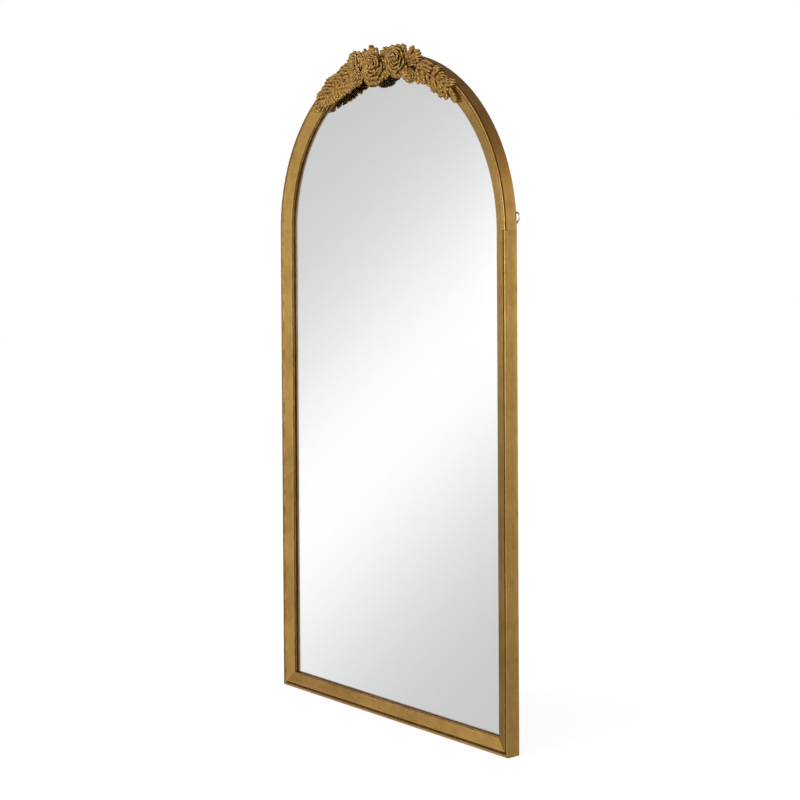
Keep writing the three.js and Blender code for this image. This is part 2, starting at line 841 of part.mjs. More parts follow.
// Root and tip as [along the crest, across its band], width along the crest, bend of the axis
const rightSprayShares = [
  { root: [0.445, 0.25], tip: [0.64, 0.094], width: 0.091, bend: -0.08 },
  { root: [0.628, 0.344], tip: [0.71, -0.156], width: 0.067, bend: -0.1 },
  { root: [0.689, 0.375], tip: [0.79, -0.031], width: 0.061, bend: -0.1 },
  { root: [0.799, 0.375], tip: [0.912, -0.109], width: 0.067, bend: -0.1 },
  { root: [0.494, 0.406], tip: [0.582, 0.844], width: 0.079, bend: 0.1 },
  { root: [0.634, 0.469], tip: [0.753, 0.828], width: 0.085, bend: 0.1 },
  { root: [0.726, 0.469], tip: [0.841, 0.812], width: 0.073, bend: 0.1 },
  { root: [0.793, 0.438], tip: [0.912, 0.688], width: 0.073, bend: 0.1 },
  { root: [0.872, 0.344], tip: [1, 0.422], width: 0.073, bend: 0.05 },
];
const leftSprayShares = [
  { root: [-0.39, 0.375], tip: [-0.537, -0.031], width: 0.079, bend: 0.12 },
  { root: [-0.537, 0.406], tip: [-0.68, -0.016], width: 0.073, bend: 0.12 },
  { root: [-0.61, 0.406], tip: [-0.744, -0.078], width: 0.073, bend: 0.12 },
  { root: [-0.677, 0.438], tip: [-0.823, 0.031], width: 0.073, bend: 0.12 },
  { root: [-0.762, 0.438], tip: [-0.902, 0.047], width: 0.073, bend: 0.12 },
  { root: [-0.841, 0.406], tip: [-0.957, 0.219], width: 0.061, bend: 0.08 },
  { root: [-0.396, 0.469], tip: [-0.445, 1], width: 0.085, bend: -0.1 },
  { root: [-0.463, 0.469], tip: [-0.53, 1.016], width: 0.085, bend: -0.1 },
  { root: [-0.537, 0.469], tip: [-0.616, 1], width: 0.085, bend: -0.1 },
  { root: [-0.61, 0.469], tip: [-0.701, 0.969], width: 0.085, bend: -0.1 },
  { root: [-0.689, 0.469], tip: [-0.78, 0.859], width: 0.079, bend: -0.1 },
  { root: [-0.762, 0.438], tip: [-0.866, 0.719], width: 0.073, bend: -0.08 },
  { root: [-0.884, 0.375], tip: [-1, 0.422], width: 0.061, bend: 0 },
];
const rightStemShares = [
  [0.396, 0.281],
  [0.549, 0.359],
  [0.72, 0.422],
  [0.902, 0.375],
];
const leftStemShares = [
  [-0.399, 0.344],
  [-0.549, 0.406],
  [-0.72, 0.438],
  [-0.93, 0.406],
];
const topLeafShares = [
  { root: [0.274, 0.219], tip: [0.363, -0.406], width: 0.061, bend: 0.08 },
  { root: [0.287, 0.188], tip: [0.47, -0.297], width: 0.085, bend: 0 },
  { root: [0.299, 0.312], tip: [0.485, -0.047], width: 0.073, bend: -0.05 },
  { root: [0.274, 0.406], tip: [0.396, 0.188], width: 0.073, bend: -0.05 },
];

// Leaves that are one piece with the bloom in front of them
const roseBackShares = [
  { root: [-0.104, 0.5], tip: [-0.098, -0.344], width: 0.128, bend: 0 },
  { root: [-0.152, 0.469], tip: [-0.198, -0.297], width: 0.067, bend: 0 },
  { root: [-0.183, 0.469], tip: [-0.253, -0.312], width: 0.067, bend: 0 },
  { root: [-0.006, 0.703], tip: [0.061, 1.031], width: 0.079, bend: 0 },
];
const rightRoseBackShares = [
  { root: [0.177, 0.531], tip: [0.171, 0.938], width: 0.085, bend: 0 },
  { root: [0.226, 0.25], tip: [0.259, -0.406], width: 0.11, bend: 0 },
];
const blossomBackShares = [
  { root: [-0.305, 0.125], tip: [-0.372, -0.406], width: 0.073, bend: 0 },
  { root: [-0.317, 0.188], tip: [-0.421, -0.172], width: 0.061, bend: 0 },
  { root: [-0.341, 0.25], tip: [-0.482, -0.078], width: 0.067, bend: 0 },
];

// Blooms, the one in front first. A lean makes the heart show to the side and upwards, and a
// squash makes a bloom less tall than it is wide.
const blooms = [
  {
    name: "rose_large_left",
    radius: roseLeftRadius,
    depth: roseDepth,
    rings: fullRoseShares,
    petals: largePetal,
    back: roseBackShares,
    leanShares: [0.55, 0.58],
    squashShare: 0.8,
    turn: 0.3,
  },
  {
    name: "rose_large_right",
    radius: roseRightRadius,
    depth: roseDepth,
    rings: fullRoseShares,
    petals: largePetal,
    back: rightRoseBackShares,
    leanShares: [0.8, 0.3],
    squashShare: 0.88,
    turn: 1.1,
  },
  {
    name: "rose_small_left",
    radius: smallRoseRadius,
    depth: smallRoseDepth,
    rings: smallRoseShares,
    petals: smallPetal,
    back: [],
    leanShares: [0.2, 0],
    squashShare: 0.8,
    turn: 0.7,
  },
  {
    name: "rose_small_right",
    radius: smallRoseRadius,
    depth: smallRoseDepth,
    rings: smallRoseShares,
    petals: smallPetal,
    back: [],
    leanShares: [0.1, 0],
    squashShare: 0.7,
    turn: 2,
  },
  {
    name: "blossom_left",
    radius: blossomRadius,
    depth: blossomDepth,
    rings: blossomShares,
    petals: smallPetal,
    back: blossomBackShares,
    leanShares: [0.1, 0.1],
    squashShare: 1,
    turn: 0,
  },
];

// Each ornament is cut by the moulding, by the screws and by the room of the ones before it
const taken = [];
function addOrnament(name, solid, rooms) {
  const shaped = cut(solid, [seatCutter, ...nearby(solid, crestScrewHoles), ...nearby(solid, taken)]);
  addSolid(root, name, largestBody(shaped), finish.gilt);
  taken.push(...rooms);
}
for (const bloom of blooms) {
  const [leanAlong, leanOut] = bloom.leanShares;
  const lean = new THREE.Matrix4().set(1, 0, leanAlong, 0, 0, 1, leanOut, 0, 0, 0, 1, 0, 0, 0, 0, 1);
  const place = crestFrame(bloomPlaceShares[bloom.name]).multiply(lean);
  place.multiply(new THREE.Matrix4().makeScale(1, bloom.squashShare, 1));
  const room = solidOf(roseRoom(bloom).applyMatrix4(place));
  place.multiply(new THREE.Matrix4().makeRotationZ(bloom.turn));
  const flower = solidOf(geometryOf(rose(bloom)).applyMatrix4(place));
  const rooms = [room, ...bloom.back.map(leafRoom)];
  addOrnament(bloom.name, joined([flower, ...bloom.back.map(leaf)]), rooms);
}
addOrnament("leaves_top_right", joined(topLeafShares.map(leaf)), topLeafShares.map(leafRoom));
const sprayOf = (stemShares, leafShares) => joined([stem(stemShares), ...leafShares.map(leaf)]);
addOrnament("leaf_spray_right", sprayOf(rightStemShares, rightSprayShares), []);
addOrnament("leaf_spray_left", sprayOf(leftStemShares, leftSprayShares), []);

export default root;
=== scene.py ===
# %% [markdown]
# # Arched floor mirror with a carved rose crest
#
# The CAD model fixes every size and place. This lesson dresses it: first the view and the light,
# then the gilded moulding, the silvered pane, the carved crest, and the fittings on the back.
# Each piece is built in metres where the CAD piece stands, so nothing has to be moved later.

import json
import math

import bpy
import numpy as np
from mathutils import Matrix, Vector
from mathutils.bvhtree import BVHTree

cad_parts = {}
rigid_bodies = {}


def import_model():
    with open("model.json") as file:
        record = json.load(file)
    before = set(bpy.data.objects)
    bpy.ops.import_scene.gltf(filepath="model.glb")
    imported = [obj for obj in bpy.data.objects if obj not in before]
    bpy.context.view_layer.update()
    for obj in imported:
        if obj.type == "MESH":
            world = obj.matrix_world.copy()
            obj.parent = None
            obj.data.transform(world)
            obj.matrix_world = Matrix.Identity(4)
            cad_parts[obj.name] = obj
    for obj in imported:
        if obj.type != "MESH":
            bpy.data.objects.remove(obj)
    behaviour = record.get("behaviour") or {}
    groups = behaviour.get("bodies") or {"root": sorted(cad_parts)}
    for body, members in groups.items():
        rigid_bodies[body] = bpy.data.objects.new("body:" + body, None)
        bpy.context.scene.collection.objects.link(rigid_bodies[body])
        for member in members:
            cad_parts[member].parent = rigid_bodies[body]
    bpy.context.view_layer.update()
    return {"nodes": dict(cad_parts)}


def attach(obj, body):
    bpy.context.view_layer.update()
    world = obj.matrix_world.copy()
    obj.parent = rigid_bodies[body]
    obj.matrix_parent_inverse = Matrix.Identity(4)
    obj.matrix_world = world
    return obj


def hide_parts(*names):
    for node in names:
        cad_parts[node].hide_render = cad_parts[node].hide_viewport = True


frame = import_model()
scene = bpy.context.scene
print("CAD pieces:", len(frame["nodes"]))

# %% [markdown]
# ## The view
#
# The photograph was taken from the right of the mirror, a little over head height, with a long
# lens. The place and the three directions of the camera below were worked out from the straight
# stiles and the half round arch, whose true shapes are known. The shift only frames the object.

# %% Place the camera
MM = 0.001
look_right = Vector((0.63775, 0.77022, -0.00597))
look_up = Vector((-0.01209, 0.01776, 0.99977))
look_ahead = Vector((-0.77015, 0.63753, -0.02065))
camera_data = bpy.data.cameras.new("camera")
camera_data.sensor_width = 36
camera_data.lens = 80.50
camera_data.shift_y = -0.1795
camera = bpy.data.objects.new("camera", camera_data)
scene.collection.objects.link(camera)
turned = Matrix((look_right, look_up, -look_ahead)).transposed().to_4x4()
camera.matrix_world = Matrix.Translation((3.4807, -2.8495, 1.2580)) @ turned
scene.camera = camera
scene.view_settings.view_transform = "Standard"

# %% [markdown]
# ## Helpers for shader nodes
#
# A material is a small graph. Writing each node in one line, with its settings and the values of
# its inputs, keeps the graph readable. A value may be a number or the output of another node.

# %% Write nodes in one line each
def feed(tree, socket, value):
    """Links a socket to another one, or sets its value."""
    if isinstance(value, bpy.types.NodeSocket):
        tree.links.new(value, socket)
    else:
        socket.default_value = value


def add_node(tree, kind, values=None, **settings):
    node = tree.nodes.new("ShaderNode" + kind)
    for name, value in settings.items():
        setattr(node, name, value)
    for name, value in (values or {}).items():
        feed(tree, node.inputs[name], value)
    return node


def reckon(tree, operation, first, second=0.0, third=0.0):
    values = {0: first, 1: second, 2: third}
    return add_node(tree, "Math", values, operation=operation).outputs[0]


def remap(tree, value, low, high, to_low=0.0, to_high=1.0):
    values = {"Value": value, "From Min": low, "From Max": high, "To Min": to_low, "To Max": to_high}
    return add_node(tree, "MapRange", values, interpolation_type="SMOOTHSTEP").outputs["Result"]


def blend_colours(tree, share, under, over):
    values = {0: share, 6: under, 7: over}
    return add_node(tree, "Mix", values, data_type="RGBA", clamp_factor=True).outputs[2]


def noise(tree, place, scale, detail, roughness=0.5):
    values = {"Vector": place, "Scale": scale, "Detail": detail, "Roughness": roughness}
    return add_node(tree, "TexNoise", values).outputs["Fac"]


def stretch(tree, place, factors):
    return add_node(tree, "VectorMath", {0: place, 1: factors}, operation="MULTIPLY").outputs[0]


# %% [markdown]
# A group's sockets are declared by name, so that the same effect can be placed in several
# materials with different values. The bump that gives a finish its fine relief is the same two
# lines each time, so it is a helper too.

# %% Groups, materials and fine relief
def new_group(name, inputs, outputs):
    group = bpy.data.node_groups.new(name, "ShaderNodeTree")
    for title, kind, value in inputs:
        socket = group.interface.new_socket(name=title, in_out="INPUT", socket_type="NodeSocket" + kind)
        socket.default_value = value
    for title, kind in outputs:
        group.interface.new_socket(name=title, in_out="OUTPUT", socket_type="NodeSocket" + kind)
    ends = group.nodes.new("NodeGroupInput"), group.nodes.new("NodeGroupOutput")
    return group, ends[0].outputs, ends[1].inputs


def place_group(tree, group, values):
    node = tree.nodes.new("ShaderNodeGroup")
    node.node_tree = group
    for name, value in values.items():
        feed(tree, node.inputs[name], value)
    return node.outputs


def new_material(name):
    material = bpy.data.materials.new(name)
    material.use_nodes = True
    tree = material.node_tree
    return material, tree, tree.nodes["Principled BSDF"]


def object_place(tree):
    return add_node(tree, "TexCoord").outputs["Object"]


def emboss(tree, shader, height, distance, strength=1.0):
    relief = add_node(tree, "Bump", {"Height": height, "Distance": distance, "Strength": strength})
    tree.links.new(relief.outputs["Normal"], shader.inputs["Normal"])


# %% [markdown]
# ## The studio
#
# The room is a plain white studio. The camera sees it as flat white. Polished things see a soft
# grey room with one broad bright band across it, because that band is what the photograph's
# glass reflects. Its brightness is a bell that falls off to both sides, over a grey that gets
# a little darker downwards. Its middle and width are given in rows of the picture.

# %% The bright band across the room
photo_pixels, focal_pixels, level_row = 800, 1788.9, 256.4
band_rows = np.linspace(67, 792, 16)
band_middle, band_width, band_rise = 421, 214, 54.4
grey_shade, grey_fall = 199.8, 0.0065
mirror_share = 0.955


def linear(shade):
    share = shade / 255
    return share / 12.92 if share <= 0.04045 else ((share + 0.055) / 1.055) ** 2.4


def band_shade(row):
    off = row - band_middle
    return grey_shade - grey_fall * off + band_rise * math.exp(-((off / band_width) ** 2))


world = bpy.data.worlds.new("studio")
scene.world = world
world.use_nodes = True
room = world.node_tree
room.nodes.clear()
facing = add_node(room, "TexCoord").outputs["Generated"]
mirrored = Vector((1, -1, 1))
across = (look_right - look_up) * mirrored
on_band = add_node(room, "VectorMath", {0: facing, 1: tuple(across)}, operation="DOT_PRODUCT")
row = reckon(room, "MULTIPLY_ADD", on_band.outputs["Value"], focal_pixels, level_row)
band = add_node(room, "ValToRGB", {"Fac": reckon(room, "DIVIDE", row, photo_pixels)})
stops = band.color_ramp.elements
while len(stops) < len(band_rows):
    stops.new(0.5)
for stop, place in zip(stops, band_rows):
    stop.position = place / photo_pixels
    value = linear(band_shade(place)) / mirror_share
    stop.color = (value, value, value, 1)
print("the band has", len(stops), "steps")

# %% [markdown]
# Gold is seen by what it reflects. So the parts of the room that only the frame looks at are
# brighter or darker than the band, as a studio has flags and panels. The ceiling and the back
# left are dim, which leaves the petals dark on their far sides. Far to the left is a wall that
# darkens towards the floor and has one window, for the faces of the stiles. Straight ahead are
# a broad panel and a narrow strip, which draw the bright lines along the groove and the bead.

# %% Brighter and darker parts of the room
def between(value, rise, fall):
    """1 from the end of the rise to the start of the fall, and 0 outside both."""
    return reckon(room, "MULTIPLY", remap(room, value, *rise), remap(room, value, *fall, 1, 0))


def both(first, second):
    return reckon(room, "MULTIPLY", first, second)


toward = add_node(room, "SeparateXYZ", {"Vector": facing}).outputs
to_right, to_back, upward = (toward[axis] for axis in "XYZ")
ceiling = remap(room, upward, 0.2, 0.7, 1.0, 0.4)
ground = remap(room, upward, -0.6, -0.32, 1.1, 1.0)
glass_top = remap(room, upward, 0.0, 0.12, 1.0, 0.955)
back_left = both(remap(room, to_back, -0.1, 0.35), remap(room, to_right, -0.6, -0.2, 1.0, 0.0))
shut = both(back_left, remap(room, upward, 0.2, 0.5, 1.0, 0.62))
open_side = reckon(room, "MULTIPLY_ADD", shut, -0.85, 1.0)

wall = remap(room, to_right, -0.9, -0.88, 1.0, 0.0)
window = both(between(to_back, (-0.44, -0.34), (-0.2, -0.1)), between(upward, (-0.12, -0.04), (0.1, 0.2)))
ahead = remap(room, to_back, -0.8, -0.66, 1.0, 0.0)
panel = both(between(to_right, (-0.3, -0.1), (0.5, 0.7)), between(upward, (-0.2, -0.08), (0.62, 0.75)))
strip = both(between(to_right, (-0.68, -0.62), (-0.5, -0.4)), between(upward, (0.05, 0.1), (0.3, 0.4)))
changes = (
    (wall, remap(room, upward, -0.2, 0.02, -1.0, 0.15)),
    (ahead, remap(room, upward, -0.28, 0.0, 0.3, 0.5)),
    (both(panel, ahead), 1.15),
    (both(strip, ahead), 1.6),
    (remap(room, to_right, 0.3, 0.6), remap(room, upward, -0.28, 0.0, -0.5, 0.75)),
    (both(window, wall), 0.9),
)
changed = 1.0
for where, amount in changes:
    changed = reckon(room, "MULTIPLY_ADD", where, amount, changed)
strength = both(both(both(both(ceiling, ground), open_side), glass_top), changed)
print("the room has", len(changes), "parts brighter or darker than the band")

# %% [markdown]
# Overhead the room is a little warmer. The light path decides what each ray sees: the camera
# plain white, reflections and what comes through glass the band, and everything else a weak
# even light, so that the shadows stay soft but visible.

# %% What each ray sees
warm = stretch(room, band.outputs["Color"], (1, 0.78, 0.66))
overhead = both(remap(room, upward, 0.16, 0.45), remap(room, to_back, -0.7, -0.5))
tinted = blend_colours(room, overhead, band.outputs["Color"], warm)
band_light = add_node(room, "Background", {"Color": tinted, "Strength": strength})
soft_light = add_node(room, "Background", {"Color": (0.97, 0.98, 1, 1), "Strength": 0.34})
white = add_node(room, "Background", {"Color": (1, 1, 1, 1), "Strength": 1})
path = add_node(room, "LightPath").outputs
sees_band = reckon(room, "MAXIMUM", path["Is Glossy Ray"], path["Is Transmission Ray"])
lit = add_node(room, "MixShader", {0: sees_band, 1: soft_light.outputs[0], 2: band_light.outputs[0]})
seen = add_node(room, "MixShader", {0: path["Is Camera Ray"], 1: lit.outputs[0], 2: white.outputs[0]})
add_node(room, "OutputWorld", {"Surface": seen.outputs[0]})

# %% [markdown]
# Three soft boxes light the carving: a key from high on the left, which gives the petals their
# bright rims, a narrow one low in front, which lights the faces under the crest, and a weak fill
# from the right. A lamp's colour stays nearly white, so that the gold keeps its own colour.

# %% Hang the soft boxes
def soft_box(name, place, aim, size, power, tint=(1, 1, 1), spread=180):
    lamp = bpy.data.lights.new(name, "AREA")
    lamp.shape = "SQUARE"
    lamp.size = size
    lamp.energy = power
    lamp.color = tint
    lamp.spread = math.radians(spread)
    box = bpy.data.objects.new(name, lamp)
    scene.collection.objects.link(box)
    box.location = place
    box.rotation_euler = (Vector(aim) - Vector(place)).to_track_quat("-Z", "Y").to_euler()
    return box


soft_box(
    "front_light", (0.7, -3.4, 1.0), aim=(0, 0, 1.75), size=1.0, power=4.4,
    tint=(1, 0.98, 0.95), spread=70,
)
soft_box("high_light", (-2.3, -1.7, 2.9), aim=(0, 0, 1.3), size=1.2, power=16)
soft_box("side_light", (3.2, 0.4, 2.2), aim=(0.4, 0, 1.0), size=1.2, power=5)

# %% [markdown]
# The floor is a large pale sheet. To the camera it adds a little of its own light, which makes
# it as white as the room while the shadow of the mirror stays. Polished things don't see it, so
# the glass shows the even room, as it does in the photograph.

# %% Lay the floor
floor_mesh = bpy.data.meshes.new("floor")
reach = 14
corners = [(-reach, -reach, 0), (reach, -reach, 0), (reach, reach, 0), (-reach, reach, 0)]
floor_mesh.from_pydata(corners, [], [(0, 1, 2, 3)])
floor = bpy.data.objects.new("floor", floor_mesh)
scene.collection.objects.link(floor)
floor.visible_glossy = False
floor.visible_transmission = False
pale, tree, shader = new_material("pale_floor")
shader.inputs["Base Color"].default_value = (0.8, 0.8, 0.8, 1)
shader.inputs["Roughness"].default_value = 0.9
shader.inputs["Emission Color"].default_value = (1, 1, 1, 1)
camera_only = add_node(tree, "LightPath").outputs["Is Camera Ray"]
tree.links.new(reckon(tree, "MULTIPLY", camera_only, 0.74), shader.inputs["Emission Strength"])
floor_mesh.materials.append(pale)

# %% [markdown]
# ## Antique gold leaf
#
# Gold leaf is laid in small squares over a red-brown ground. Where two squares lap there is a
# thin brighter line, each square takes the light a little differently, hands and dusters rub
# the gold off the raised edges, and dark wax stays in the hollows. The raised edges also get a
# painted highlight, and the hollows and the sides turned from the light get painted shade. Each
# of these is a group of its own, so that the moulding and the carving can use the same effects
# in different strength. Every gilded mesh carries values at its points for them:
# "rubbed_and_highlight" on edges, for rub and painted highlight, "hollow" in recesses,
# for wax and painted shade, and, on the carving, "behind" on the side that faces the glass.

# %% Lapped squares of leaf
leaf_laps, given, made = new_group(
    "leaf_laps",
    [("Along", "Float", 0.0), ("Across", "Float", 0.0), ("Square", "Float", 0.08)],
    [("Line", "Float"), ("Tone", "Float")],
)
tree = leaf_laps
wander = add_node(tree, "CombineXYZ", {"X": given["Along"], "Y": given["Across"]}).outputs[0]
moved = reckon(tree, "MULTIPLY_ADD", noise(tree, wander, 14, 2), 0.022, given["Along"])
count = reckon(tree, "DIVIDE", moved, given["Square"])
part = reckon(tree, "FRACT", count)
near_lap = reckon(tree, "MINIMUM", part, reckon(tree, "SUBTRACT", 1.0, part))
tree.links.new(remap(tree, near_lap, 0.0, 0.035, 1.0, 0.0), made["Line"])
shade_of = add_node(tree, "TexWhiteNoise", {"W": reckon(tree, "FLOOR", count)}, noise_dimensions="1D")
tree.links.new(shade_of.outputs["Value"], made["Tone"])

# %% Gold rubbed through to the ground
rub_through, given, made = new_group(
    "rub_through",
    [("Place", "Vector", (0, 0, 0)), ("Rubbed", "Float", 0.0), ("Amount", "Float", 0.5)],
    [("Share", "Float")],
)
tree = rub_through
coarse = noise(tree, given["Place"], 38, 5, 0.62)
patch = reckon(tree, "MULTIPLY_ADD", noise(tree, given["Place"], 420, 3, 0.6), 0.35, coarse)
edge = reckon(tree, "MULTIPLY", given["Rubbed"], given["Amount"])
worn = reckon(tree, "MULTIPLY_ADD", edge, 0.55, patch)
tree.links.new(remap(tree, worn, 0.92, 1.12), made["Share"])

# %% Dark wax and painted shade left in the hollows
wax_and_shade_in_hollows, given, made = new_group(
    "wax_and_shade_in_hollows",
    [("Place", "Vector", (0, 0, 0)), ("Hollow", "Float", 0.0), ("Amount", "Float", 0.8)],
    [("Share", "Float")],
)
tree = wax_and_shade_in_hollows
uneven = remap(tree, noise(tree, given["Place"], 120, 4, 0.6), 0.3, 0.7, 0.72, 1.2)
# The recess value holds both wax and painted shade, so this share darkens for both.
depth = reckon(tree, "MULTIPLY", given["Hollow"], uneven)
tree.links.new(reckon(tree, "MULTIPLY", depth, given["Amount"]), made["Share"])

# %% The fine surface of the ground
brushed_ground, given, made = new_group(
    "brushed_ground",
    [("Place", "Vector", (0, 0, 0)), ("Stretch", "Vector", (1, 1, 1)), ("Scale", "Float", 300.0)],
    [("Height", "Float"), ("Tone", "Float")],
)
tree = brushed_ground
strokes = noise(tree, stretch(tree, given["Place"], given["Stretch"]), given["Scale"], 6, 0.65)
pits = noise(tree, given["Place"], 900, 2)
tree.links.new(reckon(tree, "MULTIPLY_ADD", pits, 0.3, strokes), made["Height"])
tree.links.new(strokes, made["Tone"])

# %% [markdown]
# The gilding mixes seven colours. Bright and deep leaf change in slow clouds, laps are
# lighter, rubbed edges are lighter with a painted highlight, the red-brown ground shows where
# leaf is rubbed away and at the rim of the wax and painted shade, dark wax and painted shade
# fill the deepest hollows, and the side that faces the glass has only bronze paint, because a
# gilder can't reach it.
# Ground, wax and paint are less metallic and rougher than leaf, so the same shares steer the
# metallic value and the roughness. On the moulding, "swept" lays the leaf along its length.

# %% Gilt finish for one kind of piece
bright_leaf = (0.52, 0.315, 0.088, 1)
deep_leaf = (0.33, 0.19, 0.046, 1)
red_ground = (0.25, 0.09, 0.019, 1)
# Dark wax, which also serves as painted shade in the deepest hollows.
dark_wax_and_shade = (0.075, 0.032, 0.009, 1)
# Painted highlight: the light gold laid on raised, rubbed edges.
painted_highlight_gold = (0.74, 0.48, 0.17, 1)
lap_gold = (0.56, 0.36, 0.11, 1)
bronze_paint = (0.17, 0.1, 0.018, 1)


# The burnish and the edges share lighten the rubbed edges as a painted highlight.
def gilt(name, swept, square, rub, wax, bump, burnish_and_highlight, bias, rough, polish, edges):
    material, tree, shader = new_material(name)
    place = object_place(tree)
    rubbed_and_highlight, hollow, behind = (
        add_node(tree, "Attribute", attribute_name=value).outputs["Fac"]
        for value in ("rubbed_and_highlight", "hollow", "behind")
    )
    laid = add_node(tree, "UVMap", uv_map="drawn").outputs["UV"] if swept else place
    parts = add_node(tree, "SeparateXYZ", {"Vector": laid}).outputs
    sheet = {"Along": parts["X"], "Across": parts["Y" if swept else "Z"], "Square": square}
    laps = place_group(tree, leaf_laps, sheet)
    brush = {"Stretch": (0.12, 1, 1), "Scale": 240} if swept else {"Stretch": (1, 1, 1), "Scale": 150}
    grain = place_group(tree, brushed_ground, {"Place": laid, **brush})
    cloud = reckon(tree, "MULTIPLY", noise(tree, place, 16, 6, 0.68), 0.6)
    tone = reckon(tree, "MULTIPLY_ADD", laps["Tone"], 0.1, cloud)
    tone = reckon(tree, "MULTIPLY_ADD", grain["Tone"], 0.6, tone)
    # Rubbed edges turn lighter: burnish and painted highlight.
    tone = reckon(tree, "MULTIPLY_ADD", rubbed_and_highlight, -burnish_and_highlight, reckon(tree, "ADD", tone, bias))
    leaf = blend_colours(tree, remap(tree, tone, 0.4, 0.95), bright_leaf, deep_leaf)
    leaf = blend_colours(tree, reckon(tree, "MULTIPLY", laps["Line"], 0.22), leaf, lap_gold)
    # Painted highlight on the rubbed edges.
    leaf = blend_colours(tree, remap(tree, rubbed_and_highlight, 0.15, 0.9, 0, edges), leaf, painted_highlight_gold)
    bare = place_group(tree, rub_through, {"Place": place, "Rubbed": rubbed_and_highlight, "Amount": rub})["Share"]
    colour = blend_colours(tree, reckon(tree, "MULTIPLY", bare, 0.6), leaf, red_ground)
    # Wax and painted shade: the recess value turns the colour to red ground, then to dark wax.
    waxed_and_shaded = place_group(tree, wax_and_shade_in_hollows, {"Place": place, "Hollow": hollow, "Amount": wax})["Share"]
    colour = blend_colours(tree, remap(tree, waxed_and_shaded, 0.08, 0.6, 0, 0.8), colour, red_ground)
    colour = blend_colours(tree, remap(tree, waxed_and_shaded, 0.42, 1.0), colour, dark_wax_and_shade)
    colour = blend_colours(tree, behind, colour, bronze_paint)
    tree.links.new(colour, shader.inputs["Base Color"])
    dull = reckon(tree, "MAXIMUM", reckon(tree, "MULTIPLY", bare, 0.5), waxed_and_shaded)
    dull = reckon(tree, "MAXIMUM", dull, behind)
    tree.links.new(remap(tree, dull, 0, 1, 0.87, 0.3), shader.inputs["Metallic"])
    shader.inputs["Specular IOR Level"].default_value = 0.2
    sheen = reckon(tree, "MULTIPLY_ADD", grain["Tone"], 0.22, rough)
    sheen = reckon(tree, "MULTIPLY_ADD", rubbed_and_highlight, -polish, sheen)
    tree.links.new(reckon(tree, "MULTIPLY_ADD", dull, 0.2, sheen), shader.inputs["Roughness"])
    emboss(tree, shader, grain["Height"], distance=bump, strength=0.5)
    return material


gilt_moulding = gilt(
    "gilt_moulding", swept=True, square=0.082, rub=0.7, wax=1.0, bump=0.0005,
    burnish_and_highlight=0.1, bias=0.0, rough=0.27, polish=0.12, edges=0.2,
)
gilt_carving = gilt(
    "gilt_carving", swept=False, square=0.06, rub=0.4, wax=1.0, bump=0.0003,
    burnish_and_highlight=0.5, bias=0.37, rough=0.4, polish=0.08, edges=0.6,
)
print("gilt for", gilt_moulding.name, "and", gilt_carving.name)

# %% [markdown]
# ## Plain wood
#
# The back of the moulding, the rebate, the dowels and the splines are bare beech. Its grain
# runs along each piece as long thin streaks, with the small dark flecks that beech shows.

# %% Beech with its grain along one direction
stain_brown = (0.12, 0.07, 0.035, 1)


def beech(name, light, dark, grain, from_drawn):
    material, tree, shader = new_material(name)
    place = add_node(tree, "UVMap", uv_map="drawn").outputs["UV"] if from_drawn else object_place(tree)
    drawn = stretch(tree, place, grain)
    rings = noise(tree, drawn, 60, 7, 0.6)
    flecks = add_node(tree, "TexVoronoi", {"Vector": drawn, "Scale": 420})
    fleck = remap(tree, flecks.outputs["Distance"], 0.05, 0.25, 1.0, 0.0)
    colour = blend_colours(tree, remap(tree, rings, 0.35, 0.7), light, dark)
    colour = blend_colours(tree, reckon(tree, "MULTIPLY", fleck, 0.4), colour, dark)
    stained = remap(tree, noise(tree, place, 6, 3), 0.45, 0.75, 0.0, 0.35)
    tree.links.new(blend_colours(tree, stained, colour, stain_brown), shader.inputs["Base Color"])
    tree.links.new(remap(tree, rings, 0.3, 0.7, 0.55, 0.75), shader.inputs["Roughness"])
    emboss(tree, shader, rings, distance=0.0005, strength=0.4)
    return material


back_wood = beech(
    "back_wood", light=(0.42, 0.26, 0.13, 1), dark=(0.26, 0.145, 0.065, 1),
    grain=(0.05, 1, 1), from_drawn=True,
)
dowel_wood = beech(
    "dowel_wood", light=(0.5, 0.33, 0.18, 1), dark=(0.34, 0.2, 0.1, 1),
    grain=(0.3, 1, 0.3), from_drawn=False,
)

# %% [markdown]
# ## Helpers for meshes
#
# Most pieces here are a section drawn along a path, so one function builds such a skin from
# rings of points. The section is a closed loop, and the two ends get a flat face each.

# %% Skins, values on points and finished pieces
def carry_value(mesh, name, values):
    layer = mesh.attributes.new(name, "FLOAT", "POINT")
    layer.data.foreach_set("value", np.asarray(values, np.float32))


def faces_outward(points, faces):
    """Turns every face round where the skin as a whole is inside out."""
    points, volume = np.array(points, float), 0.0
    for face in faces:
        for a, b in zip(face[1:-1], face[2:]):
            volume += points[face[0]] @ np.cross(points[a], points[b])
    return faces if volume > 0 else [tuple(reversed(face)) for face in faces]


def piece_from(name, points, faces, body, materials):
    mesh = bpy.data.meshes.new(name)
    mesh.from_pydata([tuple(p) for p in points], [], faces_outward(points, faces))
    mesh.validate()
    piece = bpy.data.objects.new(name, mesh)
    scene.collection.objects.link(piece)
    for material in materials:
        mesh.materials.append(material)
    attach(piece, body)
    return piece


def smooth_sides(mesh, angle=34):
    mesh.polygons.foreach_set("use_smooth", [True] * len(mesh.polygons))
    mesh.set_sharp_from_angle(angle=math.radians(angle))


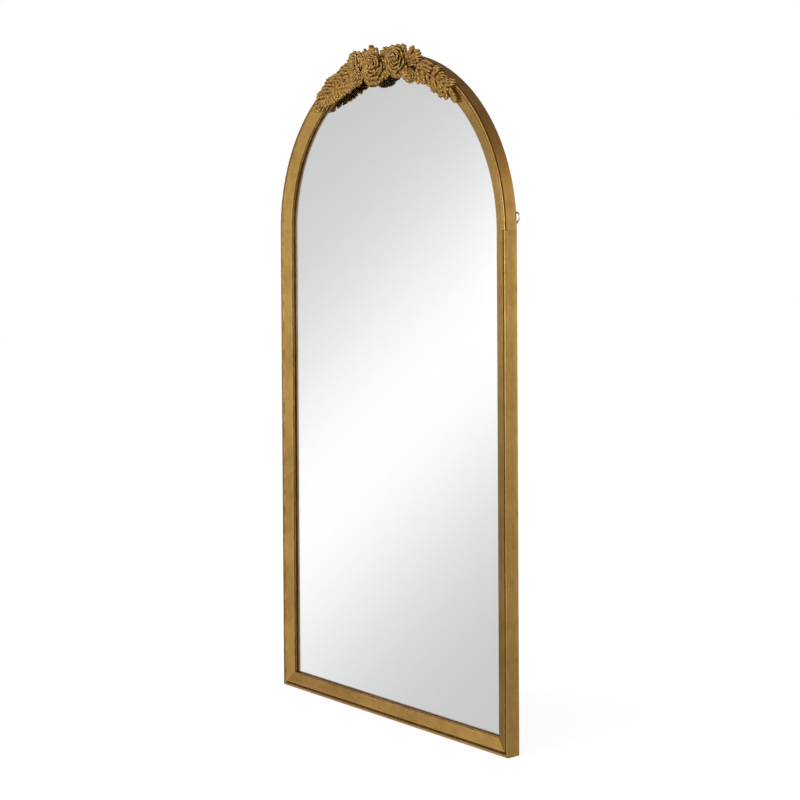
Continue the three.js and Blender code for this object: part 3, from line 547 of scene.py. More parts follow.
def skin(ring_count, corner_count, closed=False):
    faces = []
    for ring in range(ring_count if closed else ring_count - 1):
        here, there = ring * corner_count, (ring + 1) % ring_count * corner_count
        for corner in range(corner_count):
            onward = (corner + 1) % corner_count
            faces.append((here + corner, there + corner, there + onward, here + onward))
    if not closed:
        last = (ring_count - 1) * corner_count
        faces.append(tuple(range(corner_count)))
        faces.append(tuple(last + corner for corner in reversed(range(corner_count))))
    return faces


# %% [markdown]
# ## The moulding
#
# The moulding is one section all round: a bead on the outer side, a groove beside it, a small
# ridge, a face that slopes down to the glass, and a sight edge. Behind it the rebate holds the
# glass and the board. A real one is milled as straight lengths and sawn arcs, so here the same
# section is drawn along two stiles, a rail and three arcs, with the seams left open by a hair
# as in the CAD. Each corner of the section also says how rubbed and how waxed it is there; the
# rub also paints a highlight, and the wax also paints shade in the groove and along the sight
# edge.

# %% The section, in millimetres from the outer side and from the front
outer_radius, spring, front, deep = 443.5, 1231.0, -19.5, 39.0
back = front + deep
bead_wide, bead_high = 5.6, 2.2
face_start, face_top, face_wide, face_drop = 11.3, 2.6, 25.7, 6.3
sight, ledge, rebate = 39.3, 16.6, 29.0


def moulding_section():
    """Corners as (inset, depth, rub, wax), from the outer side over the front to the back; the rub also
    paints a highlight and the wax also paints shade.
    """
    side = [(0.7, deep, 0.5, 0.0), (0.0, deep - 0.7, 0.6, 0.0), (0.0, 21.0, 0.0, 0.15)]
    side += [(0.0, depth, 0.05, 0.0) for depth in (9.0, 5.6, 4.4, 3.2)]
    bead = []
    for turn in np.linspace(0, math.pi, 15):
        crown = math.sin(turn)
        inset = bead_wide * (1 - math.cos(turn)) / 2
        bead.append((inset, bead_high * (1 - crown), crown**3 * 0.9, 0.0))
    groove = [(5.9, 2.7, 0.9, 0.5), (7.2, 3.3, 0.9, 1.0), (8.6, 3.9, 0.9, 1.0), (9.8, 4.2, 0.6, 1.0)]
    ridge = [(10.6, 3.7, 0.3, 0.9), (11.3, 2.85, 0.9, 0.3)]
    ridge += [(12.2, 2.85, 0.9, 0.0), (13.6, 3.15, 0.5, 0.0)]
    face = [
        (face_start + face_wide * share, face_top + face_drop * share, 0.0, 0.0)
        for share in (0.16, 0.3, 0.5, 0.7, 0.9)
    ]
    edge = [(36.4, 8.75, 0.5, 0.0), (37.3, 9.0, 0.5, 0.1), (38.7, 9.8, 0.1, 0.55)]
    edge += [(sight, 10.5, 0.1, 0.6), (sight, 12.0, 0.0, 0.5), (sight, 13.0, 0.2, 0.1)]
    edge += [(sight, ledge - 1.4, 0.2, 0.1), (sight, ledge - 0.6, 0.0, 0.8)]
    step = [(sight - 0.3, ledge, 0.0, 1.0), (rebate, ledge, 0.0, 1.0)]
    step += [(rebate, deep - 0.4, 0.0, 0.6), (rebate - 0.4, deep, 0.3, 0.2)]
    return side + bead + groove + ridge + face + edge + step


section = moulding_section()
corner_count = len(section)
gilded = next(i for i, point in enumerate(section) if point[:2] == (sight - 0.3, ledge))
around = [0.0]
for before, after in zip(section, section[1:] + section[:1]):
    around.append(around[-1] + math.dist(before[:2], after[:2]))
print("section:", corner_count, "corners,", round(around[-1], 1), "mm round")

# %% [markdown]
# Each length is seen and lit from its own side, so each has its own settings, which weaken the
# rub or add wax on the bead, its outer flank, the groove, the ridge and the face. These paint
# the bright and dark lines that each length shows: a painted highlight where the rub is kept,
# as on the bead of the arc on the right, and painted shade where wax is added, as in the groove
# of the right stile, on the outer flank of the arc on the right and across the face of the
# rail, most at its left end.

# %% Wear, painted highlight and painted shade by zones of the section
plain = dict(bead_rub_and_highlight=0.6, bead_wax_and_shade=0.75, flank_wax_and_shade=0.6, groove_wax_and_shade=0.0, ridge_rub_and_highlight=0.2, face_wax_and_shade=0.0)
right_side_up = dict(plain, bead_rub_and_highlight=0.35, bead_wax_and_shade=0.05, flank_wax_and_shade=0.2, groove_wax_and_shade=1.0)
right_arc = dict(plain, bead_rub_and_highlight=1.0, bead_wax_and_shade=0.0, flank_wax_and_shade=0.95, groove_wax_and_shade=0.25, ridge_rub_and_highlight=0.8)
along_floor = dict(plain, bead_rub_and_highlight=0.8, bead_wax_and_shade=0.0, flank_wax_and_shade=0.85, groove_wax_and_shade=0.9, face_wax_and_shade=0.25)
flank_end, crown_end, groove_end, ridge_end, face_end = 0.3, 4.6, 11.0, 14.0, 38.9
flank_deep, bead_deep, groove_deep, face_deep = 5.0, 10.0, 8.0, 10.5


def wear_and_painted_light_at(inset, depth, share, rub, low, wear_and_painted_light):
    """The rub and the wax at one corner of the section, a share of the way along a length; they also
    paint highlight and shade.
    """
    if inset < bead_wide and depth < bead_deep:
        on_crown = inset < crown_end
        on_flank = inset < flank_end and depth < flank_deep
        rub *= wear_and_painted_light["bead_rub_and_highlight"]
        low = max(low, wear_and_painted_light["bead_wax_and_shade"] * on_crown, wear_and_painted_light["flank_wax_and_shade"] * on_flank)
    elif inset < groove_end and depth < groove_deep:
        low *= wear_and_painted_light["groove_wax_and_shade"]
        rub *= 1 - wear_and_painted_light["groove_wax_and_shade"]
    elif inset < ridge_end and depth < groove_deep:
        rub *= wear_and_painted_light["ridge_rub_and_highlight"]
        low *= 1 - wear_and_painted_light["ridge_rub_and_highlight"]
    elif inset < face_end and depth < face_deep:
        low = max(low, wear_and_painted_light["face_wax_and_shade"] * (1.35 - 0.8 * share))
    return rub, low


# %% [markdown]
# Each length of moulding is given by one function that turns a place on the section, and a
# share of the way along, into a point. The gold is a little broken along each seam, so the
# wax value rises towards both ends, and the leaf's squares are counted along the length.

# %% Draw one length of moulding
def moulding_length(name, point_at, length, shares, seam_wax, wear_and_painted_light):
    points, rubbed_and_highlight, hollow = [], [], []
    for share in shares:
        from_end = min(share, 1 - share) * length
        broken = seam_wax[share > 0.5] * math.exp(-((from_end / 1.6) ** 2))
        for inset, depth, rub, low in section:
            # Each length's settings add painted highlight and painted shade to the rub and the wax.
            rub, low = wear_and_painted_light_at(inset, depth, share, rub, low, wear_and_painted_light)
            points.append(point_at(inset, depth, share) * MM)
            rubbed_and_highlight.append(min(1, rub + 0.3 * math.exp(-from_end / 5)))
            hollow.append(max(low, broken))
    faces = skin(len(shares), corner_count)
    piece = piece_from(name, points, faces, "mirror", [gilt_moulding, back_wood])
    carry_value(piece.data, "rubbed_and_highlight", rubbed_and_highlight)
    carry_value(piece.data, "hollow", hollow)
    lay_along(piece.data, shares, length)
    smooth_sides(piece.data, angle=30)
    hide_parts(name)
    return piece


def lay_along(mesh, shares, length):
    """Lays the gold's grain along the length, and bare wood on the caps and behind the glass."""
    drawn = mesh.uv_layers.new(name="drawn").data
    for face in mesh.polygons:
        corners = [divmod(mesh.loops[i].vertex_index, corner_count) for i in face.loop_indices]
        sides = [corner for _, corner in corners]
        is_cap = len(corners) != 4
        joins_start = max(sides) - min(sides) > corner_count / 2 and not is_cap
        for i, (ring, corner) in zip(face.loop_indices, corners):
            step = around[corner_count] if joins_start and corner == 0 else around[corner]
            drawn[i].uv = (shares[ring] * length * MM, step * MM)
        is_behind = min(sides) >= gilded or joins_start
        face.material_index = 1 if is_cap or is_behind or max(sides) <= 1 else 0


def end_shares(length, count):
    near = [0, 0.8, 1.8, 3.5, 7, 14]
    middle = list(np.linspace(22, length - 22, count))
    return [x / length for x in near + middle + [length - x for x in reversed(near)]]


# %% Draw the stiles and the rail
seam = 0.12
mitre_seam = seam * math.sqrt(2)


def on_stile(side):
    def point_at(inset, depth, share):
        low_end = inset + mitre_seam
        up = low_end + share * (spring - seam - low_end)
        return Vector((side * (outer_radius - inset), front + depth, up))

    return point_at


def on_rail(inset, depth, share):
    return Vector(((outer_radius - inset - mitre_seam) * (2 * share - 1), front + depth, inset))


shares = end_shares(spring, 20)
moulding_length("stile_left", on_stile(-1), spring, shares, seam_wax=(0.1, 0.25), wear_and_painted_light=plain)
moulding_length("stile_right", on_stile(1), spring, shares, seam_wax=(0.5, 0.3), wear_and_painted_light=right_side_up)
length = 2 * outer_radius
shares = end_shares(length, 16)
moulding_length("bottom_rail", on_rail, length, shares, seam_wax=(0.15, 0.6), wear_and_painted_light=along_floor)


# %% Draw the three arcs of the arch
def on_arch(inset, depth, angle):
    radius = outer_radius - inset
    return Vector((radius * math.sin(angle), front + depth, spring + radius * math.cos(angle)))


half_seam = seam / outer_radius
for name, first, last in (("arch_left", -90, -30), ("arch_crown", -30, 30), ("arch_right", 30, 90)):
    start, end = math.radians(first) + half_seam, math.radians(last) - half_seam
    moulding_length(
        name,
        lambda inset, depth, share: on_arch(inset, depth, start + share * (end - start)),
        outer_radius * (end - start),
        end_shares(outer_radius * (end - start), 34),
        (0.3, 0.3),
        right_arc if name == "arch_right" else plain,
    )
print("moulding drawn")

# %% [markdown]
# ## The silvered pane
#
# A mirror is a sheet of clear glass with silver behind it. Building both, and not just a shiny
# plate, gives the things that make a mirror look real: the front of the glass adds its own weak
# reflection, and beside the frame there is a dark line, as deep as the glass is thick.

# %% Clear glass, silver and the paint behind it
def between_colours(tree, shader, share, first, second):
    tree.links.new(blend_colours(tree, share, first, second), shader.inputs["Base Color"])


clear_glass, tree, shader = new_material("clear_glass")
shader.inputs["Metallic"].default_value = 0
shader.inputs["Transmission Weight"].default_value = 1
shader.inputs["IOR"].default_value = 1.52
place = object_place(tree)
dust = remap(tree, noise(tree, place, 40, 6, 0.7), 0.45, 0.8, 0.0, 0.02)
tree.links.new(dust, shader.inputs["Roughness"])
between_colours(tree, shader, noise(tree, place, 2, 2), (0.985, 0.99, 0.99, 1), (1, 1, 1, 1))

silver, tree, shader = new_material("silver")
cloud = noise(tree, object_place(tree), 3, 3)
between_colours(tree, shader, cloud, (0.955, 0.96, 0.965, 1), (0.975, 0.975, 0.975, 1))
shader.inputs["Metallic"].default_value = 1
shader.inputs["Roughness"].default_value = 0.0

backing_paint, tree, shader = new_material("backing_paint")
rolled = noise(tree, object_place(tree), 130, 4)
between_colours(tree, shader, rolled, (0.16, 0.17, 0.18, 1), (0.24, 0.25, 0.26, 1))
tree.links.new(remap(tree, rolled, 0.3, 0.7, 0.4, 0.6), shader.inputs["Roughness"])


# %% [markdown]
# Both sheets, and the board behind them, share one outline: a rectangle under a half circle,
# a little smaller than the rebate. The edges are ground to a narrow bevel.

# %% Cut the arched sheets
def arched_outline(inset, steps=96):
    half = outer_radius - inset
    outline = [(-half, inset), (half, inset)]
    for turn in np.linspace(0, math.pi, steps + 1):
        outline.append((half * math.cos(turn), spring + half * math.sin(turn)))
    return outline


def arched_sheet(name, inset, near, far, bevel, materials):
    layers = [(inset + bevel, near), (inset, near + bevel), (inset, far - bevel), (inset + bevel, far)]
    rings = [[(x * MM, (front + y) * MM, z * MM) for x, z in arched_outline(i)] for i, y in layers]
    points = [point for ring in rings for point in ring]
    faces = skin(len(rings), len(rings[0]))
    return piece_from(name, points, faces, "mirror", materials)


pane_inset, glass_near, glass_far = 30.2, 16.9, 21.6
silver_inset, silver_near, silver_far = pane_inset + 0.6, 21.55, 21.9
glass = arched_sheet(
    "mirror_glass", pane_inset, glass_near, glass_far, bevel=0.5,
    materials=[clear_glass],
)
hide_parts("mirror_pane")
silvering = arched_sheet(
    "mirror_silver", silver_inset, silver_near, silver_far, bevel=0.05,
    materials=[silver, backing_paint],
)
for face in silvering.data.polygons:
    face.material_index = 1 if face.normal.y > 0.3 else 0
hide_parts("mirror_pane")
print("pane and silver cut")

# %% [markdown]
# ## The carved crest
#
# Two large roses, two small ones, a blossom and two sprays of leaves lie on the top of the
# arch. Real ones are carved, or cast from a carving: each ornament is one piece, its petals and
# leaves run into each other, and nothing is sharp. So each ornament is first put together from
# many closed sheets, one for a petal or a leaf, and then remeshed into a single skin, which
# rounds every edge and fills every joint the way gesso and gilding do.
#
# A place on the crest is given in millimetres along the arch from its top, to the right, and in
# from the outer side of the moulding. Heights are measured towards the viewer.

# %% Places on the crest
def seat_depth(inset):
    """How far the moulding's surface lies behind its front."""
    corners = [(5.2, 0.0), (9.5, 1.6), (10.4, 3.4), (11.3, 2.6), (37.0, 8.9), (39.3, 10.2)]
    return np.interp(inset, *zip(*corners))


def crest_points(along, inset, height):
    along, inset, height = np.broadcast_arrays(along, inset, height)
    radius, angle = outer_radius - inset, along / outer_radius
    return np.stack(
        [radius * np.sin(angle), front - height, spring + radius * np.cos(angle)], axis=-1
    )


def closed_sheet(middle, thickness):
    """A grid of points made into a thin closed body."""
    along, across = np.gradient(middle, axis=0), np.gradient(middle, axis=1)
    facing = np.cross(across, along)
    facing /= np.linalg.norm(facing, axis=2, keepdims=True) + 1e-9
    rise = facing * thickness[..., None] / 2
    return grid_body(middle + rise, middle - rise)


def grid_body(top, bottom):
    rows, columns = top.shape[:2]
    points = np.concatenate([top.reshape(-1, 3), bottom.reshape(-1, 3)])
    below = rows * columns
    faces = []
    for row in range(rows - 1):
        for column in range(columns - 1):
            a = row * columns + column
            b, c, d = a + 1, a + columns + 1, a + columns
            faces += [(a, b, c, d), (below + a, below + d, below + c, below + b)]
    rim = list(range(columns)) + [r * columns + columns - 1 for r in range(1, rows)]
    rim += [(rows - 1) * columns + c for c in range(columns - 2, -1, -1)]
    rim += [r * columns for r in range(rows - 2, 0, -1)]
    for a, b in zip(rim, rim[1:] + rim[:1]):
        faces.append((a, below + a, below + b, b))
    return points, faces


# %% [markdown]
# ### One petal
#
# A petal rises from its base, swells, and rolls its lip outwards. Its outline is rounded, and
# the lip has a shallow fold in the middle, or two on some of the outer petals. Numbers are
# shares of the rose's radius and depth, so the same petal serves a large rose and a small one.

# %% Shape a petal
def petal(ring, number, radius, depth, thick, luck):
    s, t = np.meshgrid(np.linspace(-1, 1, 19), np.linspace(0, 1, 15))
    pitch = 2 * math.pi / ring["count"]
    middle = (number + ring["turn"] + luck.uniform(-0.12, 0.12)) * pitch
    half = ring["spread"] * pitch / 2
    folds = 2 + (ring["tip"][0] > 0.6) * luck.integers(0, 2)
    fold = 1 - np.abs(np.sin(math.pi * folds * (s + 1) / 2))
    reach = t * (1 - 0.17 * np.abs(s) ** 3 - 0.11 * fold * t**3)
    angle = middle + s * half * (1 - 0.16 * t**3)
    lip = np.clip((reach - 0.76) / 0.24, 0, 1)
    base_out, base_up = ring["base"]
    tip_out, tip_up = ring["tip"]
    tip_up *= 1 + luck.uniform(-0.12, 0.04)
    tip_out *= 1 + luck.uniform(-0.08, 0.03)
    out = base_out + (tip_out - base_out) * (0.8 * reach + 0.2 * reach**2)
    out = out + ring["tuck"] * s + 0.02 * lip**2
    up = base_up + (tip_up - base_up) * reach**0.85
    up = up + ring["bulge"] * np.sin(math.pi * np.clip(reach, 0, 1)) * (1 - s**2 / 3)
    up = up - 0.13 * lip**2 + (0.02 + 0.05 * tip_out) * np.sin(5 * s + 9 * middle) * t**2
    up = up - 0.1 * tip_out * fold * t**2
    out = np.minimum(out, 1.0) * radius
    sheet = np.stack([out * np.cos(angle), out * np.sin(angle), up * depth], axis=-1)
    thickness = thick * (1 - 0.3 * s**2) * (0.85 + 0.7 * lip * (1 - lip))
    return closed_sheet(sheet, thickness)


def turned_body(profile, sides=28):
    """A solid of revolution from (radius, height) pairs."""
    points = []
    for out, up in profile:
        for turn in np.arange(sides) * 2 * math.pi / sides:
            points.append((out * math.cos(turn), out * math.sin(turn), up))
    return np.array(points), [tuple(reversed(f)) for f in skin(len(profile), sides)]


# %% [markdown]
# ### A rose
#
# Rings of petals stand round a bud, each ring wider, lower and flatter than the one inside it.
# A solid heart under them reaches down to the moulding. A row below is one ring, from the bud
# outwards: how many petals it has and how far it is turned, where a petal's base and tip lie
# as (out, up), how much it bulges, how wide it spreads, and how far one edge tucks under.

# %% Put a rose together
ring_parts = ("count", "turn", "base", "tip", "bulge", "spread", "tuck")


def rings_of(*rows):
    return [dict(zip(ring_parts, row)) for row in rows]


full_rose = rings_of(
    (2, 0.2, (0.02, 0.5), (0.09, 0.97), 0.02, 1.5, 0.03),
    (3, 0.35, (0.1, 0.44), (0.22, 1.0), 0.04, 1.4, 0.05),
    (4, 0.8, (0.2, 0.38), (0.38, 0.93), 0.09, 1.32, 0.06),
    (5, 0.1, (0.33, 0.3), (0.56, 0.79), 0.13, 1.28, 0.06),
    (5, 0.6, (0.47, 0.19), (0.77, 0.57), 0.17, 1.26, 0.07),
    (7, 0.0, (0.62, 0.04), (0.99, 0.22), 0.18, 1.18, 0.07),
)
small_rose = rings_of(
    (2, 0.1, (0.04, 0.5), (0.13, 0.98), 0.03, 1.45, 0.05),
    (3, 0.4, (0.15, 0.4), (0.33, 0.95), 0.08, 1.35, 0.06),
    (4, 0.1, (0.32, 0.28), (0.54, 0.78), 0.14, 1.3, 0.05),
    (4, 0.6, (0.46, 0.16), (0.76, 0.54), 0.2, 1.25, 0.05),
    (5, 0.3, (0.58, 0.06), (0.98, 0.28), 0.22, 1.18, 0.04),
)
wild_rose = rings_of(
    (3, 0.1, (0.05, 0.5), (0.16, 0.84), 0.06, 1.2, 0.03),
    (5, 0.3, (0.14, 0.4), (0.38, 0.86), 0.12, 1.1, 0.03),
    (5, 0.0, (0.3, 0.26), (0.66, 0.72), 0.2, 1.1, 0.03),
    (6, 0.5, (0.46, 0.1), (0.97, 0.4), 0.26, 1.06, 0.03),
)
heart = [(0.86, -0.2), (0.84, 0.04), (0.78, 0.2), (0.6, 0.36), (0.42, 0.5), (0.26, 0.62)]
heart += [(0.12, 0.74), (0.01, 0.78)]
heart_foot = -10.2


def rose(rings, radius, depth, thick, luck):
    core = [(0.01, heart_foot)] + [(out * radius, max(up * depth, heart_foot)) for out, up in heart]
    bodies = [turned_body(core)]
    for ring in rings:
        for number in range(ring["count"]):
            bodies.append(petal(ring, number, radius, depth, thick, luck))
    return bodies


def on_moulding(bodies, along, inset, lean, squash, turn):
    """Moves bodies made round an upright axis to their place on the crest."""
    angle = along / outer_radius
    x = Vector((math.cos(angle), 0, -math.sin(angle)))
    y = Vector((math.sin(angle), 0, math.cos(angle)))
    place = Matrix((x, y, Vector((0, -1, 0)))).transposed().to_4x4()
    place.translation = Vector(crest_points(along, inset, 0.0))
    leaning = Matrix(((1, 0, lean[0], 0), (0, 1, lean[1], 0), (0, 0, 1, 0), (0, 0, 0, 1)))
    squashed = Matrix.Diagonal((1, squash, 1, 1))
    whole = np.array(place @ leaning @ squashed @ Matrix.Rotation(turn, 4, "Z"))
    return [(points @ whole[:3, :3].T + whole[:3, 3], faces) for points, faces in bodies]


# %% [markdown]
# ### A leaf
#
# A leaf is a relief of a few fluted fingers that fan out from its root. Its top swells along
# the middle and tilts a little, a deep groove runs between each two fingers, and each finger
# ends at its own length, so no edge is a straight comb. It rises towards its tip, so that it
# lies over the root of the next leaf, and its very tip bends down again. The sides drop to the
# moulding with a slight undercut.

# %% Shape a leaf
leaf_foot = front + 10.6


def leaf(root, tip, width, bend=0.0, rise=(3.5, 8.0), fingers=3):
    luck = np.random.default_rng(int(abs(root[0]) * 31 + abs(tip[0]) * 7))
    s, t = np.meshgrid(np.linspace(-1, 1, 41), np.linspace(0, 1, 33))
    start, end = crest_points(*root, 0.0), crest_points(*tip, 0.0)
    run = end - start
    length = np.linalg.norm(run)
    side = np.array([run[2], 0, -run[0]]) / length
    place = fingers * (s + 1) / 2 + luck.uniform(0.05, 0.16) * np.sin(math.pi * (s + luck.uniform(-1, 1)))
    place = np.clip(place, 0.02, fingers - 0.02)
    ridge = np.abs(np.sin(math.pi * place)) ** 0.7
    own = luck.uniform(-0.1, 0.06, fingers + 1)[place.astype(int)]
    reach = 1 - 0.26 * np.abs(s) ** 2.4 + own * np.clip(2 * t - 1, 0, 1)
    reach = reach * (1 - 0.15 * (1 - ridge) * t**2)
    fan = 0.72 + 0.28 * np.sin(math.pi / 2 * np.clip(t / 0.6, 0, 1)) - 0.3 * np.clip(t - 0.6, 0, 1) ** 2
    across = s * fan * width / 2
    gone = t * reach
    centre = start + run * gone[..., None]
    centre = centre + side * (bend * length * np.sin(math.pi * gone))[..., None]
    flat = centre + side * across[..., None]
    inset = outer_radius - np.hypot(flat[..., 0], flat[..., 2] - spring)
    onward = np.sign(root[0] + tip[0]) * np.sign(side @ (crest_points(tip[0] + 5, tip[1], 0.0) - end))
    crown = (1 - np.abs(s) ** 2.2) * width * 0.12 + luck.uniform(1.5, 3.0) * onward * s
    lift = rise[0] + (rise[1] - rise[0]) * t**0.8 - 3.5 * np.clip((t - 0.8) / 0.2, 0, 1) ** 2
    groove = (1 - ridge) * np.clip(t * 3, 0, 1) * luck.uniform(2.2, 3.4)
    height = lift + crown - groove + 0.5 * np.sin(9 * t + 16 * own)
    top = flat.copy()
    top[..., 1] = front + 0.45 * seat_depth(inset) - height
    foot = centre + side * (across * 0.86)[..., None]
    foot[..., 1] = leaf_foot
    return grid_body(top, foot)


# %% [markdown]
# Under a spray lies a thin bed, because a carver never cuts quite through between the leaves,
# and a stalk runs along the middle of it.

# %% Lay a bed and a stalk
def bed(places, height):
    """A thin flat ground under a spray, from (along, outer inset, inner inset) places."""
    ways = np.linspace(0, len(places) - 1, 14 * len(places))
    along, outer, inner = (
        np.interp(ways, range(len(places)), column) for column in np.array(places, float).T
    )
    share = np.linspace(0, 1, 15)
    inset = outer[:, None] + (inner - outer)[:, None] * share
    rise = height * np.sin(math.pi * share) ** 0.5 - 0.6 * seat_depth(inset)
    top = crest_points(along[:, None], inset, rise)
    under = top.copy()
    under[..., 1] = leaf_foot
    return grid_body(top, under)


def stem(places, widths, height):
    """A round stalk through places on the crest."""
    knots = np.array(places, float)
    ways = np.linspace(0, len(places) - 1, 12 * len(places))
    along = np.interp(ways, range(len(places)), knots[:, 0])
    inset = np.interp(ways, range(len(places)), knots[:, 1])
    for _ in range(6):
        inset[1:-1] = (inset[:-2] + 2 * inset[1:-1] + inset[2:]) / 4
    wide = np.interp(ways, (0, len(places) - 1), widths)
    line = crest_points(along, inset, height - 0.4 * seat_depth(inset))
    ahead = np.gradient(line, axis=0)
    ahead /= np.linalg.norm(ahead, axis=1, keepdims=True)
    outward = np.cross(ahead, [0, 1.0, 0])
    rings = []
    for turn in np.arange(14) * 2 * math.pi / 14:
        swing = outward * math.cos(turn) + np.array([0, -1.0, 0]) * math.sin(turn)
        rings.append(line + swing * wide[:, None] / 2)
    points = np.stack(rings, axis=1).reshape(-1, 3)
    return points, skin(len(line), 14)


# %% [markdown]
# ### From many bodies to one carving
#
# The back of every body is first pressed flat against the moulding, and over the glass to a
# level just behind its front. Then the remesh fuses the bodies. The knife leaves gentle lumps,
# and gesso smooths the skin a little. Two values are measured on the result. Each point is
# compared with a smoothed copy of the carving: a point that lies under the smoothed skin is in
# a hollow, and one that stands proud of it is on an edge that gets rubbed and a painted
# highlight. Rays cast into the room around a point tell how sheltered it is, and the sheltered
# points are darkened with painted shade.

# %% Read a mesh and smooth values over it
def spread_out(values, edges, times):
    count = np.bincount(edges.ravel(), minlength=len(values)).astype(float)
    count[count == 0] = 1
    for _ in range(times):
        total = np.stack(
            [
                np.bincount(edges[:, 0], values[edges[:, 1], axis], len(values))
                + np.bincount(edges[:, 1], values[edges[:, 0], axis], len(values))
                for axis in range(values.shape[1])
            ],
            axis=1,
        )
        values = 0.4 * values + 0.6 * total / count[:, None]
    return values


def read_points(mesh):
    points = np.empty(len(mesh.vertices) * 3)
    mesh.vertices.foreach_get("co", points)
    return points.reshape(-1, 3)


def read_facing(mesh):
    facing = np.empty(len(mesh.vertices) * 3)
    mesh.vertices.foreach_get("normal", facing)
    return facing.reshape(-1, 3)


def read_edges(mesh):
    edges = np.empty(len(mesh.edges) * 2, int)
    mesh.edges.foreach_get("vertices", edges)
    return edges.reshape(-1, 2)


# %% Press, fuse and finish a carving
overhang_start, overhang_level = -0.2, -0.2
glass_start, glass_level = 39.4, 1.5
seat_gap, lump_height = 0.4, 0.7
voxel = 0.75 * 1


def press_on_moulding(points):
    """Keeps the backs of the bodies on the moulding, and in front of the glass beyond it."""
    inset = outer_radius - np.hypot(points[:, 0], points[:, 2] - spring)
    seat = np.where(inset > glass_start, glass_level, seat_depth(inset) + seat_gap)
    allowed = np.where(inset < overhang_start, overhang_level, seat)
    points[:, 1] = np.minimum(points[:, 1], front + allowed)
    return points


def hand_work(shape):
    """Gentle lumps, each a centimetre or so across, as a knife leaves them."""
    luck = np.random.default_rng(7)
    lumps = np.zeros(len(shape))
    for _ in range(16):
        way = luck.normal(size=3)
        way *= 2 * math.pi / (luck.uniform(6, 14) * np.linalg.norm(way))
        lumps += np.sin(shape @ way + luck.uniform(0, 2 * math.pi))
    return lumps / 4


def fuse(bodies):
    """One skin round all the bodies."""
    points = press_on_moulding(np.concatenate([p for p, _ in bodies]))
    faces, offset = [], 0
    for p, f in bodies:
        faces += [tuple(i + offset for i in face) for face in f]
        offset += len(p)
    rough = bpy.data.meshes.new("rough")
    rough.from_pydata((points * MM).tolist(), [], faces)
    blank = bpy.data.objects.new("rough", rough)
    scene.collection.objects.link(blank)
    remesh = blank.modifiers.new("fuse", "REMESH")
    remesh.mode = "VOXEL"
    remesh.voxel_size = voxel * MM
    graph = bpy.context.evaluated_depsgraph_get()
    mesh = bpy.data.meshes.new_from_object(blank.evaluated_get(graph))
    bpy.data.objects.remove(blank)
    return mesh


def carve(name, bodies):
    mesh = fuse(bodies)
    mesh.name = name
    edges, facing, shape = read_edges(mesh), read_facing(mesh), read_points(mesh) / MM
    amount = lump_height * hand_work(shape) * np.clip(1 - facing[:, 1] / 0.4, 0, 1)
    shape = press_on_moulding(shape + amount[:, None] * facing)
    shape = press_on_moulding(spread_out(shape, edges, 2))
    mesh.vertices.foreach_set("co", (shape * MM).ravel())
    mesh.update()
    piece = bpy.data.objects.new(name, mesh)
    scene.collection.objects.link(piece)
    mesh.materials.append(gilt_carving)
    mesh.polygons.foreach_set("use_smooth", [True] * len(mesh.polygons))
    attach(piece, "mirror")
    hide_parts(name)
    print(name, len(mesh.vertices), "points")
    return piece


# %% [markdown]
# ### The pieces of the crest
#
# Each ornament is listed with its own petals and leaves. The two large roses lean towards the
# right, so that their hearts show from where the photograph was taken. A leaf is given by the
# places of its root and tip and by its width, and some also by their bend, by how high root
# and tip rise, and by the number of their fingers.

# %% Carve the roses
def bloom(name, rings, seed, radius, depth, thick, along, inset, lean, squash, turn, leaves=()):
    luck = np.random.default_rng(seed)
    bodies = on_moulding(rose(rings, radius, depth, thick, luck), along, inset, lean, squash, turn)
    return carve(name, bodies + [leaf(*entry) for entry in leaves])


carvings = [
    bloom(
        "rose_large_left", full_rose, seed=11, radius=54, depth=25, thick=2.7,
        along=-38, inset=42, lean=(0.55, 0.58), squash=0.8, turn=0.3,
        leaves=[
            ((-34, 32), (-32, -22), 42, 0, (4, 10), 4),
            ((-50, 30), (-65, -19), 22, 0, (3, 8)),
            ((-60, 30), (-83, -20), 22, 0, (3, 8)),
            ((-2, 45), (20, 66), 26, 0, (3, 6)),
        ],
    ),
    bloom(
        "rose_large_right", full_rose, seed=23, radius=50, depth=25, thick=2.6,
        along=52, inset=21, lean=(0.8, 0.3), squash=0.88, turn=1.1,
        leaves=[
            ((58, 34), (56, 60), 28, 0, (3, 6)),
            ((74, 16), (85, -26), 36, 0, (3, 8), 4),
            ((36, 16), (9, -15), 30, 0, (3, 8), 3),
            ((24, 24), (-9, -5), 24, 0, (2, 5), 2),
            ((68, 32), (86, 58), 26, 0, (3, 6)),
        ],
    ),
    bloom(
        "rose_small_left", small_rose, seed=31, radius=29, depth=17, thick=2.2,
        along=-115, inset=43, lean=(0.2, 0), squash=0.8, turn=0.7,
    ),
    bloom(
        "rose_small_right", small_rose, seed=47, radius=29, depth=17, thick=2.2,
        along=120, inset=48, lean=(0.1, 0), squash=0.7, turn=2.0,
    ),
    bloom(
        "blossom_left", wild_rose, seed=53, radius=31, depth=15, thick=2.3,
        along=-106, inset=3, lean=(0.1, 0.1), squash=1.0, turn=0.0,
        leaves=[
            ((-100, 8), (-122, -26), 24),
            ((-104, 12), (-138, -11), 20),
            ((-112, 16), (-158, -5), 22),
        ],
    ),
]

